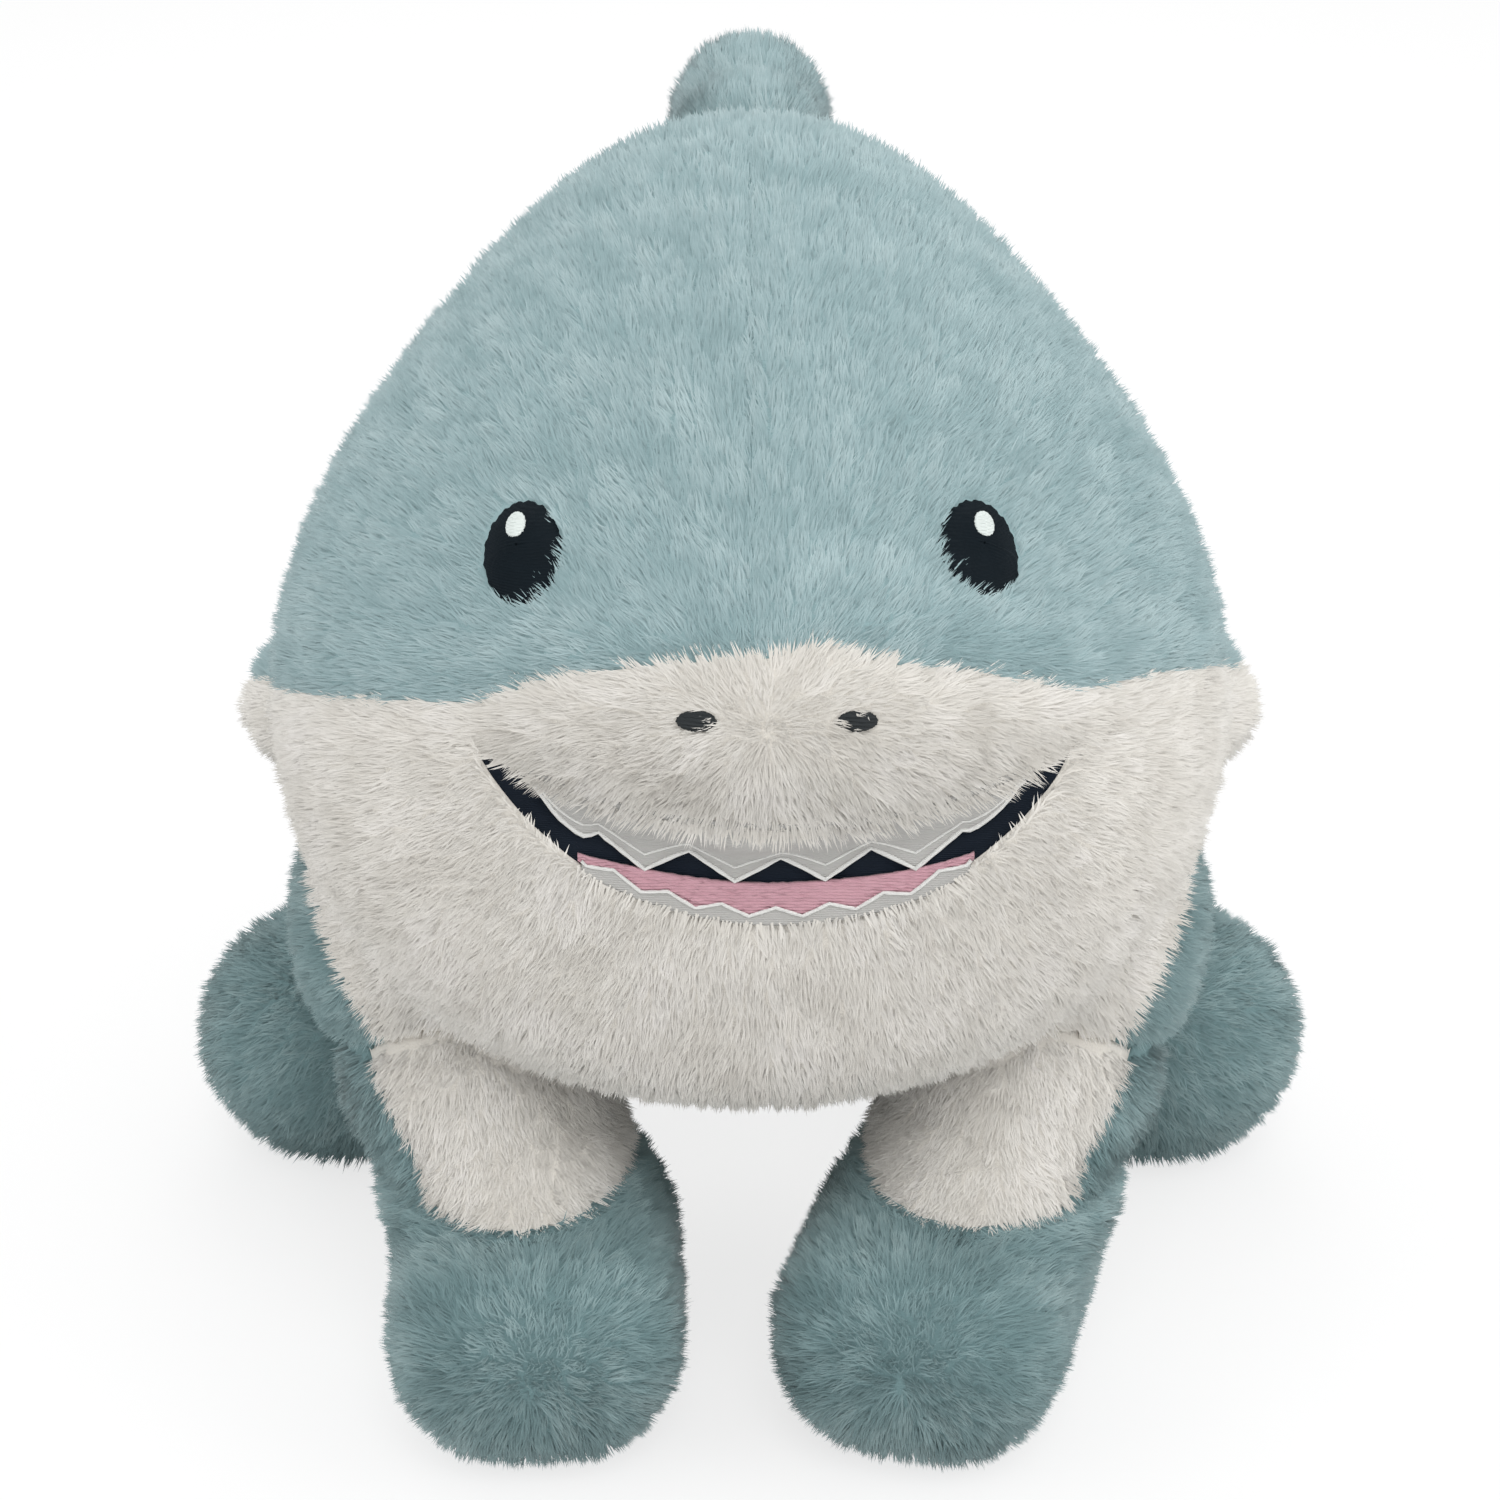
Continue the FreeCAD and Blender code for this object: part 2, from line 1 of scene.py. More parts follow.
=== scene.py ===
"""Plush shark on all fours: sewn panels over stuffing, a short soft pile and an embroidered face.

Lengths are in metres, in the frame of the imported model: +Z up, the shark faces -Y.
"""
import json
import logging
import math
from dataclasses import dataclass, field, replace
from enum import Enum
from functools import cache
from typing import Callable, ClassVar, Sequence

import bmesh
import bpy
import numpy as np
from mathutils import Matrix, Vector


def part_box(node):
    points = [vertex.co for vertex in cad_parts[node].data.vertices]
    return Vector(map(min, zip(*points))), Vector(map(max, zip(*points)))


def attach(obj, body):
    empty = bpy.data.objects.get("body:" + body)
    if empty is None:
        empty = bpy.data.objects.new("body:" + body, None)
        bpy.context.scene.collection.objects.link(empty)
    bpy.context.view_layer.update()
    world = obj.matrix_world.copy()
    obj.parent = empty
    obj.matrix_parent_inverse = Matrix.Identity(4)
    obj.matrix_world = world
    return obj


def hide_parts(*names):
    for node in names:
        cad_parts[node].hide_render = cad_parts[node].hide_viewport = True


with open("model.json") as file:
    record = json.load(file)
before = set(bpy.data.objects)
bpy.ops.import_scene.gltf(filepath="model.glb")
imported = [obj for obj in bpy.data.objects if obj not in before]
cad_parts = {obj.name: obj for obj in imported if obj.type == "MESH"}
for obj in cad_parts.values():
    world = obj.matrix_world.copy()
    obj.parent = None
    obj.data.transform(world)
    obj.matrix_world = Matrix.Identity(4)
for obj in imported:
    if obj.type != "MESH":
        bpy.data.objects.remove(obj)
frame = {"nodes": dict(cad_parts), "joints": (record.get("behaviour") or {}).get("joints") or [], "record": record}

Colour = tuple[int, int, int]
Pair = tuple[float, float]
Triple = tuple[float, float, float]
Place = float | Callable[[np.ndarray], np.ndarray]
Patch = tuple[bpy.types.Object, np.ndarray, np.ndarray]

LOG = logging.getLogger("plush_shark")
MM = 0.001
SEED = 7
SIM_FRAMES = 20
LOWEST = 0.3 * MM
FAR_OFF = 1.0
WELD = 0.002 * MM
MOVED = 1e-5
NAP_MAP = "OFBake"


class Side(Enum):
    """The two sides of the toy as seen from the front, each with the sign of its X."""

    LEFT = -1
    RIGHT = 1

    @property
    def word(self) -> str:
        """The side's name at the end of a node's name."""
        return self.name.lower()


class Cut(Enum):
    """The ways a sewn line divides a sack: across one of the axes, or along a height over the plan."""

    X = 0
    Y = 1
    LEVEL = 2


class Wrap(Enum):
    """The ways a grid is laid on the skin: pushed straight back, or each point to the nearest place."""

    BACK = "PROJECT"
    NEAREST = "NEAREST_SURFACEPOINT"


class Coat(Enum):
    """The two coats of a panel's pile: the fine one, and a thinner, coarser one well behind the face."""

    FINE = "pile"
    COARSE = "back_pile"

    @property
    def draw(self) -> int:
        """Which random numbers place the coat's strands."""
        return 4 if self is Coat.FINE else 9


# ---------------------------------------------------------------- meshes as whole arrays

def read(items: bpy.types.bpy_prop_collection, name: str, width: int, kind: type = np.float32) -> np.ndarray:
    """One property of all of a mesh's vertices, edges, faces or corners.

    Args:
        items: the mesh's vertices, edges, polygons or loops.
        name: the property's name.
        width: how many numbers each has.
        kind: the kind of number.
    Returns:
        The numbers, one row for each item.
    """
    found = np.empty(len(items) * width, kind)
    items.foreach_get(name, found)
    return found.reshape(-1, width)


def coordinates(mesh: bpy.types.Mesh) -> np.ndarray:
    """The places of a mesh's vertices, one row each."""
    return read(mesh.vertices, "co", 3).astype(float)


def place(mesh: bpy.types.Mesh, points: np.ndarray) -> None:
    """Puts a mesh's vertices at those points."""
    mesh.vertices.foreach_set("co", points.astype(np.float32).ravel())


def mesh_of(name: str, points: np.ndarray, faces: np.ndarray | None = None,
            counts: np.ndarray | None = None) -> bpy.types.Mesh:
    """A smooth mesh from arrays.

    Args:
        name: the mesh's name.
        points: one row for each vertex.
        faces: one row of vertices for each face, or the vertices of one face after another; None is no face.
        counts: how many corners each face has, where the faces differ.
    Returns:
        The mesh.
    """
    mesh = bpy.data.meshes.new(name)
    mesh.vertices.add(len(points))
    place(mesh, points)
    if faces is not None:
        counts = np.full(len(faces), faces.shape[1]) if counts is None else counts
        mesh.loops.add(faces.size)
        mesh.loops.foreach_set("vertex_index", faces.astype(np.int32).ravel())
        mesh.polygons.add(len(counts))
        mesh.polygons.foreach_set("loop_start", (np.cumsum(counts) - counts).astype(np.int32))
        mesh.polygons.foreach_set("use_smooth", np.ones(len(counts), bool))
    mesh.update(calc_edges=True)
    return mesh


@dataclass
class Skin:
    """A mesh as arrays.

    They are its points and their smooth normals, the vertices at the corners of one face after another, and
    each face's first corner and count of corners.
    """

    points: np.ndarray
    normals: np.ndarray
    corners: np.ndarray
    starts: np.ndarray
    counts: np.ndarray

    @classmethod
    def of(cls, mesh: bpy.types.Mesh) -> "Skin":
        """Reads a mesh.

        Args:
            mesh: the mesh.
        Returns:
            Its arrays.
        """
        corners = read(mesh.loops, "vertex_index", 1, np.int32).ravel()
        starts = read(mesh.polygons, "loop_start", 1, np.int32).ravel()
        return cls(coordinates(mesh), read(mesh.vertices, "normal", 3).astype(float), corners, starts,
                   np.diff(np.append(starts, len(corners))))

    def middles(self) -> np.ndarray:
        """The mean of each face's corners."""
        return np.add.reduceat(self.points[self.corners], self.starts) / self.counts[:, None]

    def triangles(self) -> tuple[np.ndarray, np.ndarray]:
        """Every face as a fan of triangles from its first corner.

        Returns:
            The three vertices of each triangle, and the number of the face that it is part of.
        """
        corner = np.arange(len(self.corners))
        step = corner - np.repeat(self.starts, self.counts)
        inside = (step >= 1) & (step < np.repeat(self.counts, self.counts) - 1)
        first = self.corners[np.repeat(self.starts, self.counts)]
        after = self.corners[np.minimum(corner + 1, len(corner) - 1)]
        face = np.repeat(np.arange(len(self.counts)), self.counts)
        return np.stack([first, self.corners, after], 1)[inside], face[inside]


def piece_of(name: str, mesh: bpy.types.Mesh) -> bpy.types.Object:
    """A piece, put in the scene.

    Args:
        name: its name.
        mesh: its mesh.
    Returns:
        The object.
    """
    piece = bpy.data.objects.new(name, mesh)
    bpy.context.scene.collection.objects.link(piece)
    return piece


def report(piece: bpy.types.Object, count: int, what: str) -> None:
    """Says which piece is made and how much there is of it."""
    LOG.info("%s: %d %s", piece.name, count, what)


def settle(piece: bpy.types.Object) -> None:
    """Puts the result of a piece's modifiers into its mesh.

    Args:
        piece: the piece.
    """
    graph = bpy.context.evaluated_depsgraph_get()
    mesh = bpy.data.meshes.new_from_object(piece.evaluated_get(graph), depsgraph=graph)
    piece.modifiers.clear()
    piece.data = mesh


def remesh(piece: bpy.types.Object, size: float) -> None:
    """Makes a piece one closed skin of even faces.

    Args:
        piece: the piece.
        size: the size of a face.
    """
    grid = piece.modifiers.new("grid", "REMESH")
    grid.mode, grid.voxel_size, grid.use_smooth_shade = "VOXEL", size, True
    settle(piece)


def discard(piece: bpy.types.Object) -> None:
    """Takes a helper object out of the file."""
    bpy.data.objects.remove(piece)


def unit(vectors: np.ndarray) -> np.ndarray:
    """Vectors at length one."""
    return vectors / np.maximum(np.linalg.norm(vectors, axis=-1, keepdims=True), 1e-12)


def ramp(values: np.ndarray, start: float, over: float) -> np.ndarray:
    """0 up to a start and evenly up to 1 over a stretch past it; a negative stretch climbs the other way."""
    return np.clip((values - start) / over, 0, 1)


def bell(values: np.ndarray, middle: np.ndarray | float, half: float) -> np.ndarray:
    """1 at the middle, falling off smoothly on both sides: e to minus the square of the share of the half."""
    return np.exp(-((values - middle) / half) ** 2)


def relaxed(points: np.ndarray, ends: np.ndarray, rounds: int) -> np.ndarray:
    """Points with their creases softened.

    Each round moves every point halfway to the mean of its neighbours and then back by a little more, so that
    bumps fade and the size stays.

    Args:
        points: one row for each vertex.
        ends: the two vertices of each edge.
        rounds: how many rounds.
    Returns:
        The moved points.
    """
    one, two = ends.T
    towards, back = 0.5, -0.51
    count = np.bincount(ends.ravel(), minlength=len(points))[:, None]
    for _ in range(rounds):
        for pull in (towards, back):
            total = [np.bincount(one, points[two, axis], len(points))
                     + np.bincount(two, points[one, axis], len(points)) for axis in range(3)]
            points = points + pull * (np.stack(total, 1) / count - points)
    return points


def main_island(count: int, ends: np.ndarray) -> np.ndarray:
    """Marks the vertices of the largest connected part.

    Every vertex takes the lowest label among its neighbours until nothing changes.

    Args:
        count: how many vertices there are.
        ends: the two vertices of each edge.
    Returns:
        True for each vertex of that part.
    """
    label = np.arange(count)
    while True:
        low = label[ends].min(1)
        lower = label.copy()
        np.minimum.at(lower, ends[:, 0], low)
        np.minimum.at(lower, ends[:, 1], low)
        lower = lower[lower]
        if (lower == label).all():
            break
        label = lower
    return label == np.bincount(label).argmax()


def ripple(points: np.ndarray, size: float, seed: int) -> np.ndarray:
    """A smooth uneven value over space: the sum of sine waves in random directions, scaled down.

    Args:
        points: one row for each place, or a grid of them.
        size: about how long the waves are.
        seed: which random numbers.
    Returns:
        A value from about -1 to 1 at each place.
    """
    rng = np.random.default_rng(seed)
    count, shares, strength = 9, (0.7, 1.6), 3.2
    waves = unit(rng.normal(size=(count, 3))) * (rng.uniform(*shares, (count, 1)) * 2 * math.pi / size)
    return np.sin(points @ waves.T + rng.uniform(0, 2 * math.pi, count)).sum(-1) / strength


def scattered(cells: np.ndarray, seed: int) -> np.ndarray:
    """Random numbers that depend only on a cell: its three whole numbers times large odd factors, mixed.

    Args:
        cells: one row of three whole numbers for each cell.
        seed: which random numbers.
    Returns:
        Four numbers from 0 to 1 for each row.
    """
    cell_factors = np.array([73856093, 19349663, 83492791], np.int64)
    seed_factor, mix_factor = 2654435761, 1274126177
    draw_factors = (1, 668265263, 374761393, 2246822519)
    highest = 0xFFFFF
    mixed = cells.astype(np.int64) @ cell_factors + seed * seed_factor
    mixed = (mixed ^ (mixed >> 13)) * mix_factor
    numbers = [((mixed * factor) >> 11) & highest for factor in draw_factors]
    return np.stack(numbers, 1) / float(highest)


def tufts(points: np.ndarray, size: float, seed: int) -> tuple[np.ndarray, np.ndarray]:
    """The tuft that each point belongs to.

    A jittered lattice holds one middle in each cell; a point joins the nearest of the eight middles round it.

    Args:
        points: one row for each strand's root.
        size: the spacing of the tufts.
        seed: which lattice.
    Returns:
        The middle of each point's tuft, and four random numbers of that tuft.
    """
    margin, jitter = 0.15, 0.7
    base = np.floor(points / size - 0.5).astype(np.int64)
    best = np.full(len(points), np.inf)
    middles, chances = np.zeros_like(points), np.zeros((len(points), 4))
    for step in np.ndindex(2, 2, 2):
        cell = base + step
        chance = scattered(cell, seed)
        middle = (cell + margin + jitter * chance[:, :3]) * size
        away = ((middle - points) ** 2).sum(1)
        nearer = away < best
        best = np.where(nearer, away, best)
        middles[nearer], chances[nearer] = middle[nearer], chance[nearer]
    return middles, chances


def wrapped(points: np.ndarray, target: bpy.types.Object, settings: dict[str, object]) -> np.ndarray:
    """Points moved onto another object by a Shrinkwrap.

    Args:
        points: one row for each.
        target: the object.
        settings: the modifier's other properties.
    Returns:
        The moved points.
    """
    probe = piece_of("probe", mesh_of("probe", points))
    wrap = probe.modifiers.new("wrap", "SHRINKWRAP")
    wrap.target = target
    for name, value in settings.items():
        setattr(wrap, name, value)
    settle(probe)
    found = coordinates(probe.data)
    discard(probe)
    return found


def covered(points: np.ndarray, cover: bpy.types.Object, room: float) -> np.ndarray:
    """Marks the points that lie inside a closed cover or nearer to it than some room.

    Args:
        points: one row for each.
        cover: the closed object.
        room: the distance that counts as covered too.
    Returns:
        True for each covered point.
    """
    outside = {"wrap_method": Wrap.NEAREST.value, "wrap_mode": "OUTSIDE", "offset": room}
    return np.linalg.norm(wrapped(points, cover, outside) - points, axis=1) > MOVED


def scored(mesh: bpy.types.Mesh, cut: Cut, where: Place) -> bpy.types.Mesh:
    """A mesh with edges cut into it along a sewn line, and nothing taken away.

    For a line along a height, the mesh is sheared so that the line lies flat, cut flat, and sheared back.

    Args:
        mesh: the mesh to cut.
        cut: how the line divides the sack.
        where: the place on that axis, or for a level, the height over each point.
    Returns:
        A new mesh.
    """
    snap = 0.15 * MM
    points = coordinates(mesh)
    at = where
    if cut is Cut.LEVEL:
        points[:, 2] -= where(points)
        place(mesh, points)
        at = 0.0
    work = bmesh.new()
    work.from_mesh(mesh)
    middle, normal = np.zeros(3), np.zeros(3)
    middle[cut.value], normal[cut.value] = at, 1.0
    bmesh.ops.bisect_plane(work, geom=work.verts[:] + work.edges[:] + work.faces[:], dist=snap,
                           plane_co=middle, plane_no=normal)
    done = bpy.data.meshes.new(mesh.name)
    work.to_mesh(done)
    work.free()
    if cut is Cut.LEVEL:
        points = coordinates(done)
        points[:, 2] += where(points)
        place(done, points)
    done.update()
    return done


def outward(mesh: bpy.types.Mesh) -> bpy.types.Mesh:
    """The mesh with doubles merged and its faces turned outwards.

    Args:
        mesh: the mesh, which is changed.
    Returns:
        The same mesh.
    """
    work = bmesh.new()
    work.from_mesh(mesh)
    bmesh.ops.remove_doubles(work, verts=work.verts[:], dist=WELD)
    bmesh.ops.recalc_face_normals(work, faces=work.faces[:])
    work.to_mesh(mesh)
    work.free()
    return mesh


def slab(name: str, front: np.ndarray, back: np.ndarray) -> bpy.types.Mesh:
    """A closed thin solid between two equal grids, with a rim all round.

    Args:
        name: the mesh's name.
        front: the outer sheet's points, rows by columns by three.
        back: the inner sheet's points, likewise.
    Returns:
        The mesh, its faces turned outwards.
    """
    rows, columns = front.shape[:2]
    number = np.arange(rows * columns).reshape(rows, columns)
    cells = np.stack([number[:-1, :-1], number[:-1, 1:], number[1:, 1:], number[1:, :-1]], -1).reshape(-1, 4)
    edge = np.concatenate([number[0, :-1], number[:-1, -1], number[-1, :0:-1], number[:0:-1, 0]])
    after = np.roll(edge, -1)
    under = rows * columns
    rim = np.stack([after, edge, edge + under, after + under], -1)
    points = np.concatenate([front.reshape(-1, 3), back.reshape(-1, 3)])
    return outward(mesh_of(name, points, np.concatenate([cells, cells[:, ::-1] + under, rim])))


def ring_quads(rows: int, columns: int) -> np.ndarray:
    """The four-cornered faces between rings of points that lie one after another.

    Args:
        rows: how many rings.
        columns: how many points each has.
    Returns:
        Four vertices for each face.
    """
    number = np.arange(rows * columns).reshape(rows, columns)
    beside = np.roll(number, -1, axis=1)
    return np.stack([number[:-1], beside[:-1], beside[1:], number[1:]], -1).reshape(-1, 4)


# ---------------------------------------------------------------- finishes

def linear(colour: Sequence[float]) -> tuple[float, float, float, float]:
    """A colour written as screen values from 0 to 255, as linear values with full alpha.

    Dark values fall on a straight line, and the others on a power of 2.4, as screens show them.

    Args:
        colour: red, green and blue.
    Returns:
        The linear colour.
    """
    share = np.array(colour, float) / 255
    value = np.where(share <= 0.04045, share / 12.92, ((share + 0.055) / 1.055) ** 2.4)
    return (*value, 1.0)


class Wiring:
    """Adds nodes to a tree and joins them, so that each finish reads as a short recipe."""

    def __init__(self, tree: bpy.types.NodeTree) -> None:
        """Starts on a node tree."""
        self.tree = tree

    def fill(self, node: bpy.types.Node, **values: object) -> bpy.types.Node:
        """Sets or joins a node's sockets.

        Args:
            node: the node.
            values: sockets by name with underscores for blanks, or by number after an i; a socket given is
                joined, and any other value is set.
        Returns:
            The same node.
        """
        for name, value in values.items():
            numbered = name[1:].isdigit()
            socket = node.inputs[int(name[1:]) if numbered else name.replace("_", " ")]
            if isinstance(value, bpy.types.NodeSocket):
                self.tree.links.new(value, socket)
            else:
                socket.default_value = value
        return node

    def add(self, kind: str, settings: dict[str, object] | None = None, **values: object) -> bpy.types.Node:
        """A node with its settings made and its sockets filled.

        Args:
            kind: the node's type.
            settings: the node's own properties.
            values: its sockets, as fill takes them.
        Returns:
            The node.
        """
        node = self.tree.nodes.new(kind)
        for name, value in (settings or {}).items():
            setattr(node, name, value)
        return self.fill(node, **values)

    def maths(self, way: str, *values: object, clamp: bool = False) -> bpy.types.NodeSocket:
        """The result of a sum.

        Args:
            way: the sum's name.
            values: numbers or sockets.
            clamp: whether the result stays from 0 to 1.
        Returns:
            The socket that gives it.
        """
        inputs = {f"i{number}": value for number, value in enumerate(values)}
        return self.add("ShaderNodeMath", {"operation": way, "use_clamp": clamp}, **inputs).outputs[0]

    def mixed(self, share: object, one: object, two: object) -> bpy.types.NodeSocket:
        """One colour mixed with another by a share."""
        return self.add("ShaderNodeMix", {"data_type": "RGBA"}, i0=share, i6=one, i7=two).outputs[2]

    def group(self, tree: bpy.types.NodeTree, **values: object) -> bpy.types.Node:
        """One of the shared effects, placed here with values of its own."""
        return self.add("ShaderNodeGroup", {"node_tree": tree}, **values)

    def seen(self) -> bpy.types.NodeSocket:
        """Tells a surface that is looked at from one that gives light.

        Returns:
            1 to the camera, in a reflection and through glass, and 0 to the light.
        """
        path = self.add("ShaderNodeLightPath")
        direct = self.maths("MAXIMUM", path.outputs["Is Camera Ray"], path.outputs["Is Glossy Ray"])
        return self.maths("MAXIMUM", direct, path.outputs["Is Transmission Ray"])


MID_GREY = (0.5, 0.5, 0.5, 1.0)
COLOUR_SOCKET = ("NodeSocketColor", MID_GREY)
PLACE_SOCKET = ("NodeSocketVector", (0.0, 0.0, 0.0))


def number_socket(value: float) -> tuple[str, float]:
    """The kind and first value of a group's number input."""
    return "NodeSocketFloat", value


def new_group(name: str, takes: dict[str, tuple[str, object]],
              gives: dict[str, str]) -> tuple[Wiring, bpy.types.Node, bpy.types.Node]:
    """An empty shader node group with named sockets.

    Args:
        name: the group's name.
        takes: each input's kind and first value.
        gives: each output's kind.
    Returns:
        The group's wiring, its input node and its output node.
    """
    tree = bpy.data.node_groups.new(name, "ShaderNodeTree")
    for socket, (kind, value) in takes.items():
        made = tree.interface.new_socket(name=socket, in_out="INPUT", socket_type=kind)
        made.default_value = value
    for socket, kind in gives.items():
        tree.interface.new_socket(name=socket, in_out="OUTPUT", socket_type=kind)
    return Wiring(tree), tree.nodes.new("NodeGroupInput"), tree.nodes.new("NodeGroupOutput")


@cache
def nap_group() -> bpy.types.NodeTree:
    """The colour of a strand: from dark over middle to light by its tone, and darker towards its root, a painted
    shade deep in the pile.

    Returns:
        The group's tree.
    """
    wire, given, result = new_group("nap_colour", {
        "Dark": COLOUR_SOCKET, "Middle": COLOUR_SOCKET, "Light": COLOUR_SOCKET, "Root": COLOUR_SOCKET,
        "Tone": number_socket(0.5), "Along": number_socket(0.5)}, {"Color": "NodeSocketColor"})
    root_reach = 0.6
    twice = wire.maths("MULTIPLY", given.outputs["Tone"], 2.0)
    past_middle = wire.maths("SUBTRACT", twice, 1.0)
    low_share = wire.maths("MULTIPLY", twice, 1.0, clamp=True)
    high_share = wire.maths("MULTIPLY", past_middle, 1.0, clamp=True)
    colour = wire.mixed(low_share, given.outputs["Dark"], given.outputs["Middle"])
    colour = wire.mixed(high_share, colour, given.outputs["Light"])
    # painted shade: the strand takes the darker root colour near its foot, fading out towards the tip
    rise = wire.maths("POWER", given.outputs["Along"], root_reach)
    wire.fill(result, Color=wire.mixed(rise, given.outputs["Root"], colour))
    return wire.tree


@cache
def mottle_group() -> bpy.types.NodeTree:
    """A colour made uneven: broad soft clouds and a fine grain, and the grain's height for a bump.

    Returns:
        The group's tree.
    """
    wire, given, result = new_group("mottle", {
        "Vector": PLACE_SOCKET, "Color": COLOUR_SOCKET, "Other": COLOUR_SOCKET, "Cloud": number_socket(40.0),
        "Grain": number_socket(900.0), "Share": number_socket(0.5)},
        {"Color": "NodeSocketColor", "Height": "NodeSocketFloat"})
    cloud = wire.add("ShaderNodeTexNoise", Vector=given.outputs["Vector"], Scale=given.outputs["Cloud"],
                     Detail=3.0)
    grain = wire.add("ShaderNodeTexNoise", Vector=given.outputs["Vector"], Scale=given.outputs["Grain"],
                     Detail=2.0)
    cloud_part, grain_part = 0.6, 0.4
    both = wire.maths("ADD", wire.maths("MULTIPLY", cloud.outputs["Fac"], cloud_part),
                      wire.maths("MULTIPLY", grain.outputs["Fac"], grain_part))
    share = wire.maths("MULTIPLY", both, given.outputs["Share"])
    wire.fill(result, Color=wire.mixed(share, given.outputs["Color"], given.outputs["Other"]),
              Height=grain.outputs["Fac"])
    return wire.tree


@cache
def thread_group() -> bpy.types.NodeTree:
    """Rows of satin stitch or weave: thin parallel threads along one direction, uneven in tone and height.

    Returns:
        The group's tree.
    """
    wire, given, result = new_group("threads", {
        "Vector": PLACE_SOCKET, "Pitch": number_socket(1000.0), "Turn": number_socket(0.0)},
        {"Tone": "NodeSocketFloat", "Height": "NodeSocketFloat"})
    axis = wire.add("ShaderNodeCombineXYZ", Z=given.outputs["Turn"])
    turned = wire.add("ShaderNodeMapping", Vector=given.outputs["Vector"], Rotation=axis.outputs[0])
    wave = wire.add("ShaderNodeTexWave", {"wave_type": "BANDS", "bands_direction": "Z"},
                    Vector=turned.outputs[0], Scale=given.outputs["Pitch"], Distortion=0.6, Detail=1.0,
                    Detail_Scale=0.4)
    stretch = wire.add("ShaderNodeMapping", Vector=turned.outputs[0], Scale=(60.0, 60.0, 900.0))
    streak = wire.add("ShaderNodeTexNoise", Vector=stretch.outputs[0], Scale=1.0, Detail=2.0)
    wire.fill(result, Tone=streak.outputs["Fac"], Height=wave.outputs["Fac"])
    return wire.tree


def material_of(name: str, recipe: Callable[[Wiring, bpy.types.Node], None]) -> bpy.types.Material:
    """The material of that name, made when it is first asked for.

    Args:
        name: the material's name.
        recipe: wires it up, given its wiring and its shader.
    Returns:
        The material.
    """
    if name not in bpy.data.materials:
        material = bpy.data.materials.new(name)
        material.use_nodes = True
        recipe(Wiring(material.node_tree), material.node_tree.nodes["Principled BSDF"])
    return bpy.data.materials[name]


@dataclass(frozen=True)
class Nap:
    """A pile fabric's strands: their colours, and how they stand.

    The colours are screen values; the root colour is darker than the middle, a painted shade at the foot of the
    strands. Lean is the angle of a strand from upright, stray how far strands turn from the lay of the pile,
    gather how much the tips of a tuft draw together, softness how much a strand is lit as the skin under it
    is. A strand's UV map has its tone across, and its place from root to tip upwards, as far as reach.
    """

    name: str
    slot: str
    dark: Colour
    middle: Colour
    light: Colour
    root: Colour
    length: float = 5.0 * MM
    width: float = 0.6 * MM
    lean: float = 0.8
    stray: float = 0.45
    tuft: float = 4.5 * MM
    gather: float = 0.4
    softness: float = 0.92
    reach: float = 0.12

    def strands(self) -> bpy.types.Material:
        """The strands' material: colour by tone, and by the place along the strand with painted shade at the root,
        with a soft sheen.
        """
        return material_of(self.name, self.wire_strands)

    def backing(self) -> bpy.types.Material:
        """The knitted ground that the pile grows from, coloured darker than the strands as painted shade between
        them.
        """
        return material_of(f"{self.name}_ground", self.wire_backing)

    def wire_strands(self, wire: Wiring, shader: bpy.types.Node) -> None:
        """Wires the strands' material.

        Args:
            wire: its wiring.
            shader: its shader.
        """
        spot = wire.add("ShaderNodeSeparateXYZ",
                        Vector=wire.add("ShaderNodeUVMap", {"uv_map": NAP_MAP}).outputs[0])
        nap = wire.group(nap_group(), Dark=linear(self.dark), Middle=linear(self.middle),
                         Light=linear(self.light), Root=linear(self.root), Tone=spot.outputs["X"],
                         Along=wire.maths("DIVIDE", spot.outputs["Y"], self.reach))
        wire.fill(shader, Base_Color=nap.outputs["Color"], Roughness=0.85, Specular_IOR_Level=0.25,
                  Sheen_Weight=0.12, Sheen_Roughness=0.5)

    def wire_backing(self, wire: Wiring, shader: bpy.types.Node) -> None:
        """Wires the ground's material: the dark and root colours in clouds and a knitted grain, darker than the
        strands as painted shade in the pile.

        Args:
            wire: its wiring.
            shader: its shader.
        """
        cloth = wire.group(mottle_group(), Vector=wire.add("ShaderNodeTexCoord").outputs["Object"],
                           Color=linear(self.dark), Other=linear(self.root), Cloud=35.0, Grain=1400.0,
                           Share=0.6)
        bump = wire.add("ShaderNodeBump", Height=cloth.outputs["Height"], Strength=0.4, Distance=0.4 * MM)
        wire.fill(shader, Base_Color=cloth.outputs["Color"], Normal=bump.outputs[0], Roughness=0.95)


